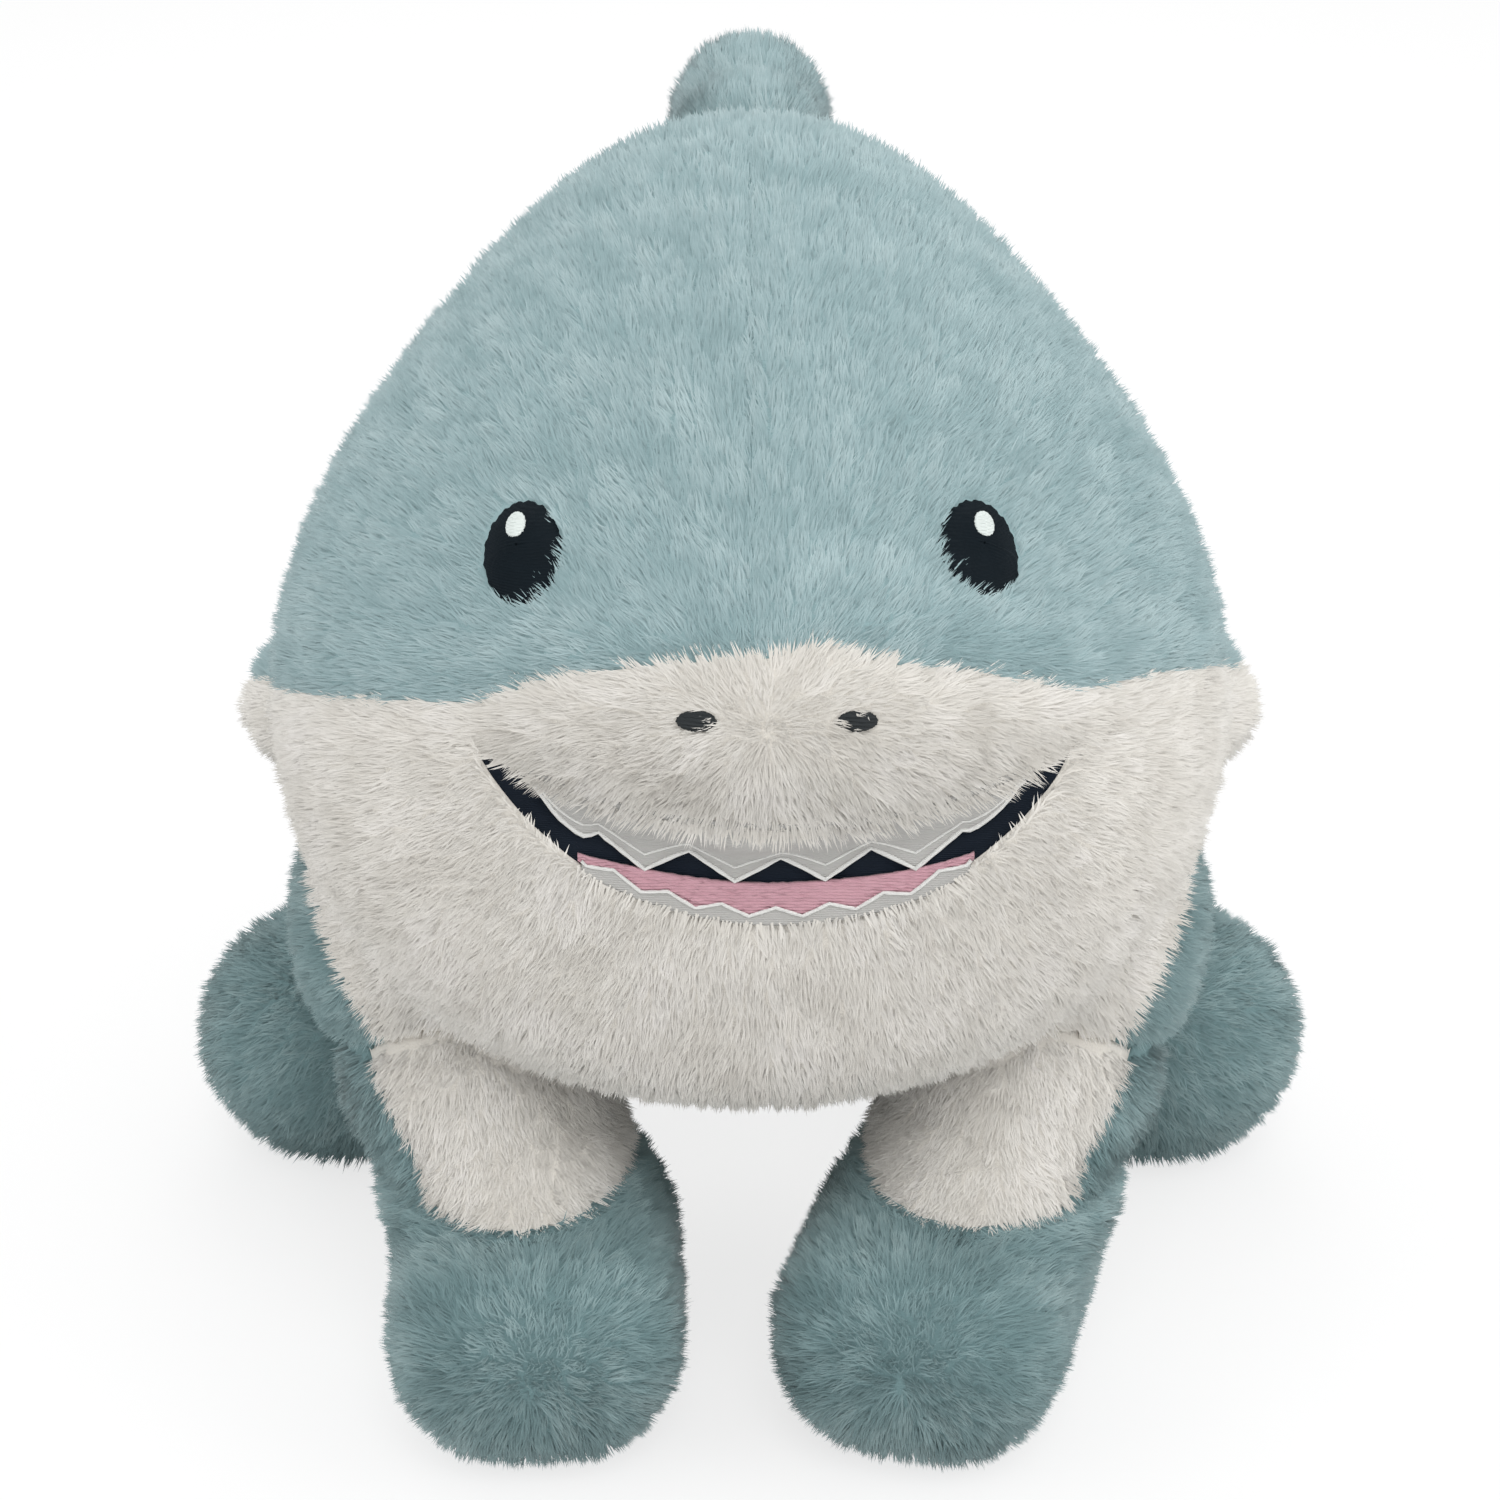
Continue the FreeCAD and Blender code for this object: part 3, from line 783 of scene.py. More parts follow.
@dataclass(frozen=True)
class Cloth:
    """A flat fabric or embroidery: two colours, the pitch and turn of its threads, and its gloss."""

    name: str
    slot: str
    colour: Colour
    other: Colour
    pitch: float = 700.0
    turn: float = 0.0
    bump: float = 0.15 * MM
    roughness: float = 0.5
    gloss: float = 0.4
    sheen: float = 0.0

    def material(self) -> bpy.types.Material:
        """The fabric's material."""
        return material_of(self.name, self.wire_threads)

    def wire_threads(self, wire: Wiring, shader: bpy.types.Node) -> None:
        """Wires the material: thread rows in tone and height over a fine grain.

        Args:
            wire: its wiring.
            shader: its shader.
        """
        where = wire.add("ShaderNodeTexCoord").outputs["Object"]
        grain = wire.group(mottle_group(), Vector=where, Color=linear(self.colour), Other=linear(self.other),
                           Cloud=120.0, Grain=2500.0, Share=0.8)
        rows = wire.group(thread_group(), Vector=where, Pitch=self.pitch, Turn=self.turn)
        row_tone, grain_height = 0.5, 0.7
        share = wire.maths("MULTIPLY", rows.outputs["Tone"], row_tone)
        height = wire.maths("MULTIPLY", grain.outputs["Height"], grain_height)
        height = wire.maths("ADD", rows.outputs["Height"], height)
        bump = wire.add("ShaderNodeBump", Height=height, Strength=0.7, Distance=self.bump)
        wire.fill(shader, Base_Color=wire.mixed(share, grain.outputs["Color"], linear(self.other)),
                  Normal=bump.outputs[0], Roughness=self.roughness, Specular_IOR_Level=self.gloss,
                  Sheen_Weight=self.sheen)


# The root colours, darker than the middle ones, are painted shade deep in the pile.
BLUE = Nap("plush_blue_head", "plush_blue", dark=(138, 164, 167), middle=(158, 181, 184),
           light=(178, 198, 200), root=(146, 170, 173))
# The limbs' blue is darker than the head's: partly the pile's lie, partly painted shade where the light from above
# reaches the low limbs and feet less.
SHADED_LIMB_BLUE = Nap("plush_blue_limbs", "plush_blue", dark=(108, 135, 137), middle=(131, 156, 158),
           light=(158, 180, 181), root=(112, 138, 141), length=5.6 * MM, lean=0.62, stray=0.7, gather=0.5)
WHITE = Nap("plush_white_face", "plush_white", dark=(212, 208, 200), middle=(227, 224, 217),
            light=(239, 236, 231), root=(217, 213, 206))
NAVY = Cloth("lining_satin", "satin_navy", (12, 20, 30), (20, 30, 42), roughness=0.6, gloss=0.12)
INK = Cloth("thread_black", "satin_navy", (6, 14, 19), (12, 23, 30), pitch=520.0, roughness=0.7, gloss=0.1)
GREY = Cloth("thread_grey", "satin_grey", (28, 32, 34), (50, 54, 56), pitch=520.0, roughness=0.7, gloss=0.2)
SATIN = Cloth("teeth_satin", "satin_grey", (158, 157, 154), (186, 185, 182), roughness=0.38)
THREAD = Cloth("thread_white", "satin_white", (206, 206, 203), (232, 232, 229), pitch=900.0, roughness=0.35)
GLINT = Cloth("thread_glint", "satin_white", (196, 204, 201), (214, 221, 218), pitch=520.0, roughness=0.5)
TERRY = Cloth("tongue_terry", "terry_pink", (178, 130, 142), (207, 163, 173), pitch=400.0, bump=0.3 * MM,
              roughness=0.8, sheen=0.1)
WADDING = Cloth("wadding", "stuffing", (224, 222, 216), (240, 239, 235), pitch=60.0, bump=1.5 * MM,
                roughness=0.95)


# ---------------------------------------------------------------- the mouth's plan

@dataclass(frozen=True)
class MouthPlan:
    """The mouth seen from the front: arcs from corner to corner, each with a sag of its own.

    Middle, level and half place its corners, and the lip's and the jaw's arcs sag below them; it lies where Y
    is below depth. A row of teeth has its half width, a gum, and teeth of that pitch and length; the upper
    row tapers to its ends, and fur drops over it. Rims are how far past an edge no pile grows.
    """

    middle: float = 6 * MM
    level: float = 192 * MM
    half: float = 69 * MM
    lip_sag: float = 16 * MM
    jaw_sag: float = 42 * MM
    depth: float = -120 * MM
    upper_half: float = 57 * MM
    upper_taper: float = 13 * MM
    upper_gum: float = 9 * MM
    upper_pitch: float = 21 * MM
    upper_tooth: float = 7 * MM
    fur_drop: float = 6 * MM
    lower_half: float = 46 * MM
    lower_gum: float = 1 * MM
    lower_pitch: float = 12.6 * MM
    lower_tooth: float = 2.5 * MM
    tongue_half: float = 46 * MM
    tongue_level: float = 167.5 * MM
    tongue_sag: float = 8 * MM
    lip_rim: float = 0.6 * MM
    jaw_rim: float = 0.8 * MM

    def arc(self, x: np.ndarray, sag: float, half: float | None = None,
            level: float | None = None) -> np.ndarray:
        """The height of an arc over a place across the mouth.

        Its radius is the half width squared plus the sag squared, over twice the sag. Past its ends it stays
        at their level.

        Args:
            x: the places across.
            sag: how far the arc's lowest point lies below its ends.
            half: its half width; None is the mouth's own.
            level: the height of its ends; None is the mouth's own.
        Returns:
            The height at each place.
        """
        half, level = half or self.half, level or self.level
        radius = (half ** 2 + sag ** 2) / (2 * sag)
        across = np.clip(x - self.middle, -half, half)
        return level - sag + radius - np.sqrt(radius ** 2 - across ** 2)

    def lip(self, x: np.ndarray) -> np.ndarray:
        """The height of the mouth's upper edge at places across."""
        return self.arc(x, self.lip_sag)

    def jaw(self, x: np.ndarray) -> np.ndarray:
        """The height of the mouth's lower edge at places across."""
        return self.arc(x, self.jaw_sag)

    def fullness(self, x: np.ndarray) -> np.ndarray:
        """How full the upper row of teeth is at places across: 1 for most of it, falling to 0 at its ends."""
        return ramp(abs(x - self.middle), self.upper_half, -self.upper_taper)

    def holds(self, points: np.ndarray, room: float = 0.0) -> np.ndarray:
        """Marks the points in the mouth's opening.

        Args:
            points: one row for each.
            room: how far above or below it a point still counts.
        Returns:
            True for each point in it.
        """
        x, y, z = points.T
        return ((y < self.depth) & (abs(x - self.middle) < self.half) & (z < self.lip(x) + room)
                & (z > self.jaw(x) - room))

    def bare(self, points: np.ndarray) -> np.ndarray:
        """Marks the points where the satin shows: the opening, less the fur that hangs over the upper teeth.

        Args:
            points: one row for each.
        Returns:
            True for each bare point.
        """
        x, _, z = points.T
        hung = self.fur_drop * self.fullness(x)
        return (self.holds(points, self.lip_rim) & (z < self.lip(x) + self.lip_rim - hung)
                & (z > self.jaw(x) + self.jaw_rim))


MOUTH = MouthPlan()


# ---------------------------------------------------------------- the pile

def sown(skin: Skin, triangles: np.ndarray, density: float, seed: int) -> tuple[np.ndarray, np.ndarray]:
    """Roots spread evenly over triangles.

    Each root falls in a triangle with a chance in proportion to its area, at a random place in it.

    Args:
        skin: the sack.
        triangles: three of its vertices for each triangle.
        density: roots on each square millimetre.
        seed: which random numbers.
    Returns:
        The roots and the skin's normal at each.
    """
    rng = np.random.default_rng(seed)
    a, b, c = (skin.points[triangles[:, corner]] for corner in range(3))
    areas = np.linalg.norm(np.cross(b - a, c - a), axis=1) / 2
    edges = np.cumsum(areas)
    count = int(density * edges[-1] / MM ** 2)
    even = (np.arange(count) + rng.random(count)) / count * edges[-1]
    at = np.minimum(np.searchsorted(edges, even), len(edges) - 1)
    one, two = rng.random((2, count))
    flip = one + two > 1
    one, two = np.where(flip, 1 - one, one), np.where(flip, 1 - two, two)
    shares = np.stack([1 - one - two, one, two], 1)[:, :, None]
    return (skin.points[triangles[at]] * shares).sum(1), unit((skin.normals[triangles[at]] * shares).sum(1))


@dataclass
class Pile:
    """The pile over some roots: one closed three-sided spike for each strand.

    A strand leans from the normal towards the lay of the pile. Its tuft turns and tones it, and draws its
    tip to the tuft's middle along the skin. The spike has two corners behind and one in front of the root.
    Each share below is how much of a strand's turn, lean, length or tone comes from its tuft, from a broad
    cloud over the skin, or from the strand alone.
    """

    SPIKE: ClassVar[np.ndarray] = np.array([[0, 1, 3], [1, 2, 3], [2, 0, 3], [0, 2, 1]])

    name: str
    roots: np.ndarray
    up: np.ndarray
    lay: np.ndarray
    nap: Nap
    short: float
    seed: int
    cloud_size: float = 26 * MM
    turn_tuft: float = 1.1
    turn_cloud: float = 0.45
    turn_own: float = 0.45
    lean_tuft: float = 0.5
    lean_own: float = 0.25
    lean_range: Pair = (0.1, 1.5)
    length_least: float = 0.72
    length_tuft: float = 0.22
    length_own: float = 0.3
    width_range: Pair = (0.75, 1.25)
    tone_tuft: float = 0.42
    tone_cloud: float = 0.19
    tone_own: float = 0.1
    tone_range: Pair = (0.03, 0.97)
    sunk: float = 0.4 * MM
    heel: float = 0.5
    map_nudge: float = 0.0012
    map_foot: float = 0.004
    side_light: float = 0.8
    back_light: float = 0.4

    def grow(self) -> bpy.types.Object:
        """Makes the pile.

        Fine fibres let most light through, so the pile casts no shadow of its own; the skin does.

        Returns:
            The piece.
        """
        rng = np.random.default_rng(self.seed)
        count, up, nap = len(self.roots), self.up, self.nap
        middles, chance = tufts(self.roots, nap.tuft, self.seed)
        cloud = ripple(self.roots, self.cloud_size, self.seed + 5)
        along = unit(self.lay - (self.lay * up).sum(1, keepdims=True) * up)
        turn = nap.stray * (self.turn_tuft * (chance[:, 3] - 0.5) + self.turn_cloud * cloud
                            + self.turn_own * rng.normal(size=count))
        towards = along * np.cos(turn)[:, None] + np.cross(up, along) * np.sin(turn)[:, None]
        lean = nap.lean * np.clip(1 + self.lean_own * rng.normal(size=count)
                                  + self.lean_tuft * (chance[:, 0] - 0.5), *self.lean_range)
        length = nap.length * self.short * (self.length_least + self.length_own * rng.random(count)
                                            + self.length_tuft * (chance[:, 1] - 0.5))
        way = up * np.cos(lean)[:, None] + towards * np.sin(lean)[:, None]
        pull = middles - self.roots
        pull -= (pull * up).sum(1, keepdims=True) * up
        tips = self.roots + way * length[:, None] + pull * nap.gather
        side = np.cross(up, towards)
        half = 0.5 * nap.width * rng.uniform(*self.width_range, count)[:, None]
        mesh = self.spikes(tips, towards, side, half)
        tone = (0.5 + self.tone_cloud * cloud + self.tone_tuft * (chance[:, 2] - 0.5)
                + self.tone_own * rng.normal(size=count))
        self.paint(mesh, np.clip(tone, *self.tone_range))
        self.shade(mesh, way, towards, side)
        piece = piece_of(self.name, mesh)
        piece.visible_shadow = False
        mesh.materials.append(nap.strands())
        return piece

    def spikes(self, tips: np.ndarray, towards: np.ndarray, side: np.ndarray,
               half: np.ndarray) -> bpy.types.Mesh:
        """The strands' mesh.

        Args:
            tips: the end of each strand.
            towards: the way along the skin in which it leans.
            side: the way along the skin across that.
            half: half its width.
        Returns:
            The mesh, with four points and four triangles for each strand.
        """
        foot = self.roots - self.up * self.sunk
        back = foot - towards * half * self.heel
        points = np.stack([back + side * half, back - side * half, foot + towards * half, tips], 1)
        points[..., 2] = np.maximum(points[..., 2], LOWEST)
        first = np.arange(len(points))[:, None, None] * points.shape[1]
        return mesh_of(self.name, points.reshape(-1, 3), (self.SPIKE[None] + first).reshape(-1, 3))

    def paint(self, mesh: bpy.types.Mesh, tone: np.ndarray) -> None:
        """Gives the strands the map that their colour is read from: tone across, and root to tip upwards.

        Args:
            mesh: the strands' mesh.
            tone: each strand's tone, from 0 to 1.
        """
        across = np.array([-self.map_nudge, 0.0, self.map_nudge, 0.0])
        upwards = np.array([0.0, self.map_foot, 0.0, self.nap.reach])
        spots = np.stack([tone[:, None] + across, np.tile(upwards, (len(tone), 1))], -1)
        corners = read(mesh.loops, "vertex_index", 1, np.int32).ravel()
        layer = mesh.uv_layers.new(name=NAP_MAP, do_init=False)
        layer.uv.foreach_set("vector", spots.reshape(-1, 2)[corners].astype(np.float32).ravel())

    def shade(self, mesh: bpy.types.Mesh, way: np.ndarray, towards: np.ndarray, side: np.ndarray) -> None:
        """Lights the strands mostly as the skin under them, and a little by their own form.

        Args:
            mesh: the strands' mesh.
            way: the direction of each strand.
            towards: the way along the skin in which it leans.
            side: the way along the skin across that.
        """
        own = 1 - self.nap.softness
        up = self.up
        sideways, backwards = side * self.side_light * own, towards * self.back_light * own
        lit = np.stack([up + sideways - backwards, up - sideways - backwards, up + towards * own,
                        up + (way - up) * own], 1)
        normals = mesh.attributes.new("custom_normal", "FLOAT_VECTOR", "POINT")
        normals.data.foreach_set("vector", unit(lit).reshape(-1, 3).astype(np.float32).ravel())


# ---------------------------------------------------------------- stuffed parts

@dataclass(frozen=True)
class Socket:
    """The rounded hollow where a limb's root sits in the trunk: an ellipsoid at a joint, leant about X."""

    joint: str
    radii: Triple
    lean: float = 0.0

    @property
    def middle(self) -> np.ndarray:
        """The joint's place, which is the hollow's middle."""
        return np.array(next(j for j in frame["joints"] if j["name"] == self.joint)["pos_m"])

    @property
    def turn(self) -> np.ndarray:
        """The rotation about X that leans the hollow."""
        c, s = math.cos(self.lean), math.sin(self.lean)
        return np.array([[1, 0, 0], [0, c, -s], [0, s, c]])

    def reach(self, points: np.ndarray, less: float) -> np.ndarray:
        """How far out points lie, as a share of the ellipsoid made smaller by a length: below 1 is inside."""
        return np.linalg.norm(((points - self.middle) @ self.turn) / (np.array(self.radii) - less), axis=1)

    def plug(self, less: float) -> tuple[np.ndarray, np.ndarray]:
        """The ellipsoid, made smaller by a length: a grid of latitude by longitude.

        Args:
            less: how much smaller each radius is.
        Returns:
            Its points and its triangles.
        """
        rows, columns = 25, 48
        down = np.linspace(0, math.pi, rows)[:, None]
        about = np.linspace(0, 2 * math.pi, columns, endpoint=False)[None]
        ball = np.stack([np.sin(down) * np.cos(about), np.sin(down) * np.sin(about),
                         np.cos(down) * np.ones_like(about)], -1).reshape(-1, 3)
        quads = ring_quads(rows, columns)
        triangles = np.concatenate([quads[:, [0, 3, 2]], quads[:, [0, 2, 1]]])
        return (ball * (np.array(self.radii) - less)) @ self.turn.T + self.middle, triangles


@dataclass(frozen=True)
class Panel:
    """One cut of fabric: the node it stands for, its pile and the pile's strands on each square millimetre.

    Short is the share of the pile's length; far, if given, is the density well behind the face, of coarser
    strands; trim, if given, is the pile of the panel's edge.
    """

    node: str
    nap: Nap
    density: float
    short: float = 1.0
    far: float | None = None
    trim: Nap | None = None


@dataclass
class StuffedPart:
    """A stuffed body of the toy: one sack sewn from panels, over a stuffing.

    The panels are cuts of the sack along its sewn lines. The sack has faces of the voxel's size; it is taken
    in by the tuck before it swells by no more than the swell. The skin then lies an inset inside it, with a
    groove along the sewn lines, and is thick. Behind far_from the coarse coat of the pile starts to take
    over, and from far_to it is alone. Fill is how full the part is stuffed.

    Plugs that shape the hollows are a little less than them, and the panels end at the hollow's rim. Points
    near a sewn line stay put while the sack swells. The underside is flattened below a height, over a band.
    The stuffing is set in by a gap and has lumps of two sizes. The coarse coat's strands are wider.
    """

    body: str
    stuffing: str
    panels: list[Panel]
    voxel: float = 5.0 * MM
    swell: float = 4 * MM
    tuck: float = 2 * MM
    inset: float = 0.7 * MM
    far_from: float = -70 * MM
    far_to: float = 10 * MM
    thick: float = 2.5 * MM
    groove: float = 1.6 * MM
    groove_reach: float = 3.0 * MM
    fill: float = 0.8
    plug_less: float = 3 * MM
    hollow_rim: float = 1.5 * MM
    pile_room: float = 0.5 * MM
    softening: int = 5
    stiff_reach: float = 0.6
    pressure: float = 4.0
    quality: int = 4
    flat_below: float = 14 * MM
    flat_over: float = 8 * MM
    lumps: Pair = (22 * MM, 9 * MM)
    lump_height: float = 0.8 * MM
    gap: float = 3.5 * MM
    stuffing_fill: float = 0.9
    coarser: float = 1.6
    panel_step: int = 31
    sockets: list[Socket] = field(default_factory=list)
    sack: bpy.types.Object | None = None
    start: np.ndarray | None = None

    def sewn_lines(self) -> list[tuple[Cut, Place]]:
        """The lines that divide the sack into its panels."""
        return []

    def seam_distance(self, points: np.ndarray) -> np.ndarray:
        """How far points lie from the nearest sewn line; a plain sack has none near."""
        return np.full(len(points), FAR_OFF)

    def panel_numbers(self, points: np.ndarray) -> np.ndarray:
        """Which panel each point lies on, by its number in the list; -1 is on none."""
        return np.zeros(len(points), int)

    def lay(self, points: np.ndarray) -> np.ndarray:
        """The direction in which the pile is brushed at each point."""
        return np.tile([0.0, 0.0, -1.0], (len(points), 1))

    def bare(self, points: np.ndarray) -> np.ndarray:
        """Marks the points where no pile grows."""
        return np.zeros(len(points), bool)

    def trimmed(self, points: np.ndarray) -> np.ndarray:
        """Marks the points on a panel's edge that carry its trim."""
        return np.zeros(len(points), bool)

    def raised(self, roots: np.ndarray) -> np.ndarray:
        """How far each root stands off the sack, over a patch sewn on it."""
        return np.zeros(len(roots))

    def depth(self, points: np.ndarray) -> np.ndarray:
        """How far the skin lies inside the swollen sack, to leave room for the pile."""
        return np.full(len(points), self.inset)

    def behind(self, points: np.ndarray) -> np.ndarray:
        """The share of the coarse coat at each point, from 0 or less to 1 or more."""
        return (points[:, 1] - self.far_from) / (self.far_to - self.far_from)

    def sew(self) -> None:
        """Makes the sack: the body's solids as one closed skin of even faces, its creases softened."""
        solids = [frame["nodes"][node].data for node in frame["record"]["behaviour"]["bodies"][self.body]]
        shells = [(skin.points, skin.corners.reshape(-1, 3)) for skin in map(Skin.of, solids)]
        shells += [socket.plug(self.plug_less) for socket in self.sockets]
        before = np.cumsum([0] + [len(points) for points, _ in shells])
        faces = np.concatenate([shell + count for (_, shell), count in zip(shells, before)])
        points = np.concatenate([points for points, _ in shells])
        self.sack = piece_of(f"{self.body}_sack", mesh_of(f"{self.body}_sack", points, faces))
        remesh(self.sack, self.voxel)
        mesh = self.sack.data
        skin = Skin.of(mesh)
        ends = read(mesh.edges, "vertices", 2, np.int32)
        keep = main_island(len(skin.points), ends)
        kept_faces = keep[skin.corners[skin.starts]]
        kept_corners = skin.corners[np.repeat(kept_faces, skin.counts)]
        renumber = np.cumsum(keep) - 1
        smooth = relaxed(skin.points, ends, self.softening)[keep]
        self.sack.data = mesh_of(mesh.name, smooth, renumber[kept_corners], skin.counts[kept_faces])

    def ready_to_swell(self) -> None:
        """Takes the sack in a little and gives it air pressure, held along its sewn lines."""
        mesh = self.sack.data
        skin = Skin.of(mesh)
        self.start = skin.points - skin.normals * self.tuck
        place(mesh, self.start)
        held = self.sack.vertex_groups.new(name="held")
        still = np.flatnonzero(self.seam_distance(self.start) < self.voxel * self.stiff_reach)
        held.add(still.tolist(), 1.0, "REPLACE")
        cloth = self.sack.modifiers.new("cloth", "CLOTH")
        cloth.settings.quality = self.quality
        cloth.settings.use_pressure = True
        cloth.settings.uniform_pressure_force = self.pressure
        cloth.settings.effector_weights.gravity = 0.0
        cloth.settings.vertex_group_mass = "held"
        cloth.point_cache.frame_start, cloth.point_cache.frame_end = 1, SIM_FRAMES

    def hold_shape(self) -> None:
        """Keeps the swollen shape, no point moved further than the cap, and drops the cloth."""
        settle(self.sack)
        moved = coordinates(self.sack.data) - self.start
        length = np.linalg.norm(moved, axis=1, keepdims=True)
        place(self.sack.data, self.start + moved * np.minimum(1, self.swell / np.maximum(length, 1e-9)))

    def divide(self) -> None:
        """Refines the sack, draws its sewn lines in and cuts edges along them."""
        finer = self.sack.modifiers.new("finer", "SUBSURF")
        finer.levels = finer.render_levels = 1
        settle(self.sack)
        mesh = self.sack.data
        skin = Skin.of(mesh)
        points = skin.points
        depth = self.depth(points) + self.groove * bell(self.seam_distance(points), 0.0, self.groove_reach)
        points -= skin.normals * depth[:, None]
        points[:, 2] -= self.inset * ramp(points[:, 2], self.flat_below, -self.flat_over)
        points[:, 2] = np.maximum(points[:, 2], LOWEST)
        place(mesh, points)
        for cut, where in self.sewn_lines():
            mesh = scored(mesh, cut, where)
        mesh.polygons.foreach_set("use_smooth", np.ones(len(mesh.polygons), bool))
        mesh.update()
        self.sack.data = mesh

    def make_panels(self) -> None:
        """Cuts the sack into its panels, each a closed thin solid, and puts the stuffing inside."""
        skin = Skin.of(self.sack.data)
        middles = skin.middles()
        owner = self.panel_numbers(middles)
        for socket in self.sockets:
            owner[socket.reach(middles, self.hollow_rim) < 1] = -1
        for number, panel in enumerate(self.panels):
            self.make_panel(panel, skin, owner == number)
        self.make_stuffing()

    def make_panel(self, panel: Panel, skin: Skin, chosen: np.ndarray) -> None:
        """One panel, from the chosen faces of the sack.

        The outer sheet is the sack's own faces, the inner one the same faces set in along the normals and
        turned over, and a rim of quads joins them where an edge has a face on one side only.

        Args:
            panel: the panel.
            skin: the sack.
            chosen: True for each of its faces that is the panel's.
        """
        own = skin.corners[np.repeat(chosen, skin.counts)]
        sizes = skin.counts[chosen]
        used, local = np.unique(own, return_inverse=True)
        total = len(used)
        starts = np.cumsum(sizes) - sizes
        ends = starts + sizes - 1
        following = np.arange(len(local)) + 1
        following[ends] = starts
        edge = np.stack([local, local[following]], 1)
        known = edge[:, 0].astype(np.int64) * total + edge[:, 1]
        back = edge[:, 1].astype(np.int64) * total + edge[:, 0]
        rim = edge[~np.isin(back, known)]
        backwards = np.repeat(starts + ends, sizes) - np.arange(len(local))
        inner = local[backwards] + total
        rim_faces = np.stack([rim[:, 1], rim[:, 0], rim[:, 0] + total, rim[:, 1] + total], 1)
        outer_points = skin.points[used]
        inner_points = outer_points - skin.normals[used] * self.thick
        inner_points[:, 2] = np.maximum(inner_points[:, 2], LOWEST + self.thick * 0.5)
        mesh = mesh_of(panel.node, np.concatenate([outer_points, inner_points]),
                       np.concatenate([local, inner, rim_faces.ravel()]),
                       np.concatenate([sizes, sizes, np.full(len(rim), 4)]))
        piece = piece_of(f"{panel.node}_skin", mesh)
        mesh.materials.append(panel.nap.backing())
        if panel.trim:
            mesh.materials.append(panel.trim.backing())
            second = self.trimmed(Skin.of(mesh).middles())
            mesh.polygons.foreach_set("material_index", second.astype(np.int32))
        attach(piece, self.body)
        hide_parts(panel.node)
        report(piece, len(mesh.polygons), "faces")

    def make_stuffing(self) -> None:
        """The stuffing: the sack set in and made lumpy, its height uneven by two sizes of ripple."""
        core = piece_of(f"{self.stuffing}_form", self.sack.data.copy())
        remesh(core, 2 * self.voxel)
        skin = Skin.of(core.data)
        broad, fine = self.lumps
        lump = ripple(skin.points, broad, SEED) + 0.5 * ripple(skin.points, fine, SEED + 1)
        inner = skin.points - skin.normals * (self.thick + self.gap - self.lump_height * lump)[:, None]
        inner[:, 2] = np.maximum(inner[:, 2], LOWEST + self.thick)
        place(core.data, inner)
        core.data.materials.append(WADDING.material())
        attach(core, self.body)
        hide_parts(self.stuffing)
        report(core, len(core.data.polygons), "faces")

    def lay_pile(self, covers: Sequence[bpy.types.Object]) -> None:
        """Grows each panel's pile, where no other part covers it.

        Args:
            covers: the sacks of the parts that touch this one.
        """
        skin = Skin.of(self.sack.data)
        middles = skin.middles()
        triangles, face = skin.triangles()
        owner, behind = self.panel_numbers(middles)[face], self.behind(middles)[face]
        for number, panel in enumerate(self.panels):
            mine = owner == number
            if panel.far is None:
                self.lay_coat(number, Coat.FINE, skin, triangles[mine], covers)
            else:
                self.lay_coat(number, Coat.FINE, skin, triangles[mine & (behind < 1)], covers)
                self.lay_coat(number, Coat.COARSE, skin, triangles[mine & (behind > 0)], covers)

    def lay_coat(self, number: int, coat: Coat, skin: Skin, triangles: np.ndarray,
                 covers: Sequence[bpy.types.Object]) -> None:
        """Grows one coat of a panel's pile, and its trim's.

        Args:
            number: the panel's number.
            coat: which coat.
            skin: the sack.
            triangles: three of its vertices for each triangle that the coat grows on.
            covers: the sacks of the parts that touch this one.
        """
        panel = self.panels[number]
        seed = SEED + self.panel_step * number + coat.draw
        roots, up = sown(skin, triangles, panel.density if coat is Coat.FINE else panel.far, seed)
        free = ~self.bare(roots)
        if panel.far is not None:
            coarse = np.random.default_rng(seed + 1).random(len(roots)) < self.behind(roots)
            free &= coarse if coat is Coat.COARSE else ~coarse
        for socket in self.sockets:
            free &= socket.reach(roots, -self.pile_room) > 1
        for cover in covers:
            free[free] = ~covered(roots[free], cover, self.pile_room)
        roots, up = roots[free], up[free]
        roots = roots + up * self.raised(roots)[:, None]
        edge = self.trimmed(roots) if panel.trim else np.zeros(len(roots), bool)
        for name, nap, mine in ((f"{panel.node}_{coat.value}", panel.nap, ~edge),
                                (f"{panel.node}_trim_{coat.value}", panel.trim, edge)):
            if mine.any():
                nap = replace(nap, width=nap.width * self.coarser) if coat is Coat.COARSE else nap
                lay = self.lay(roots[mine])
                piece = Pile(name, roots[mine], up[mine], lay, nap, panel.short, SEED + number).grow()
                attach(piece, self.body)
                report(piece, mine.sum(), "strands")


# ---------------------------------------------------------------- the trunk

def flat(height: float) -> Callable[[np.ndarray], np.ndarray]:
    """A sewn line's height where it is the same over every point."""
    return lambda points: np.full(len(points), height)


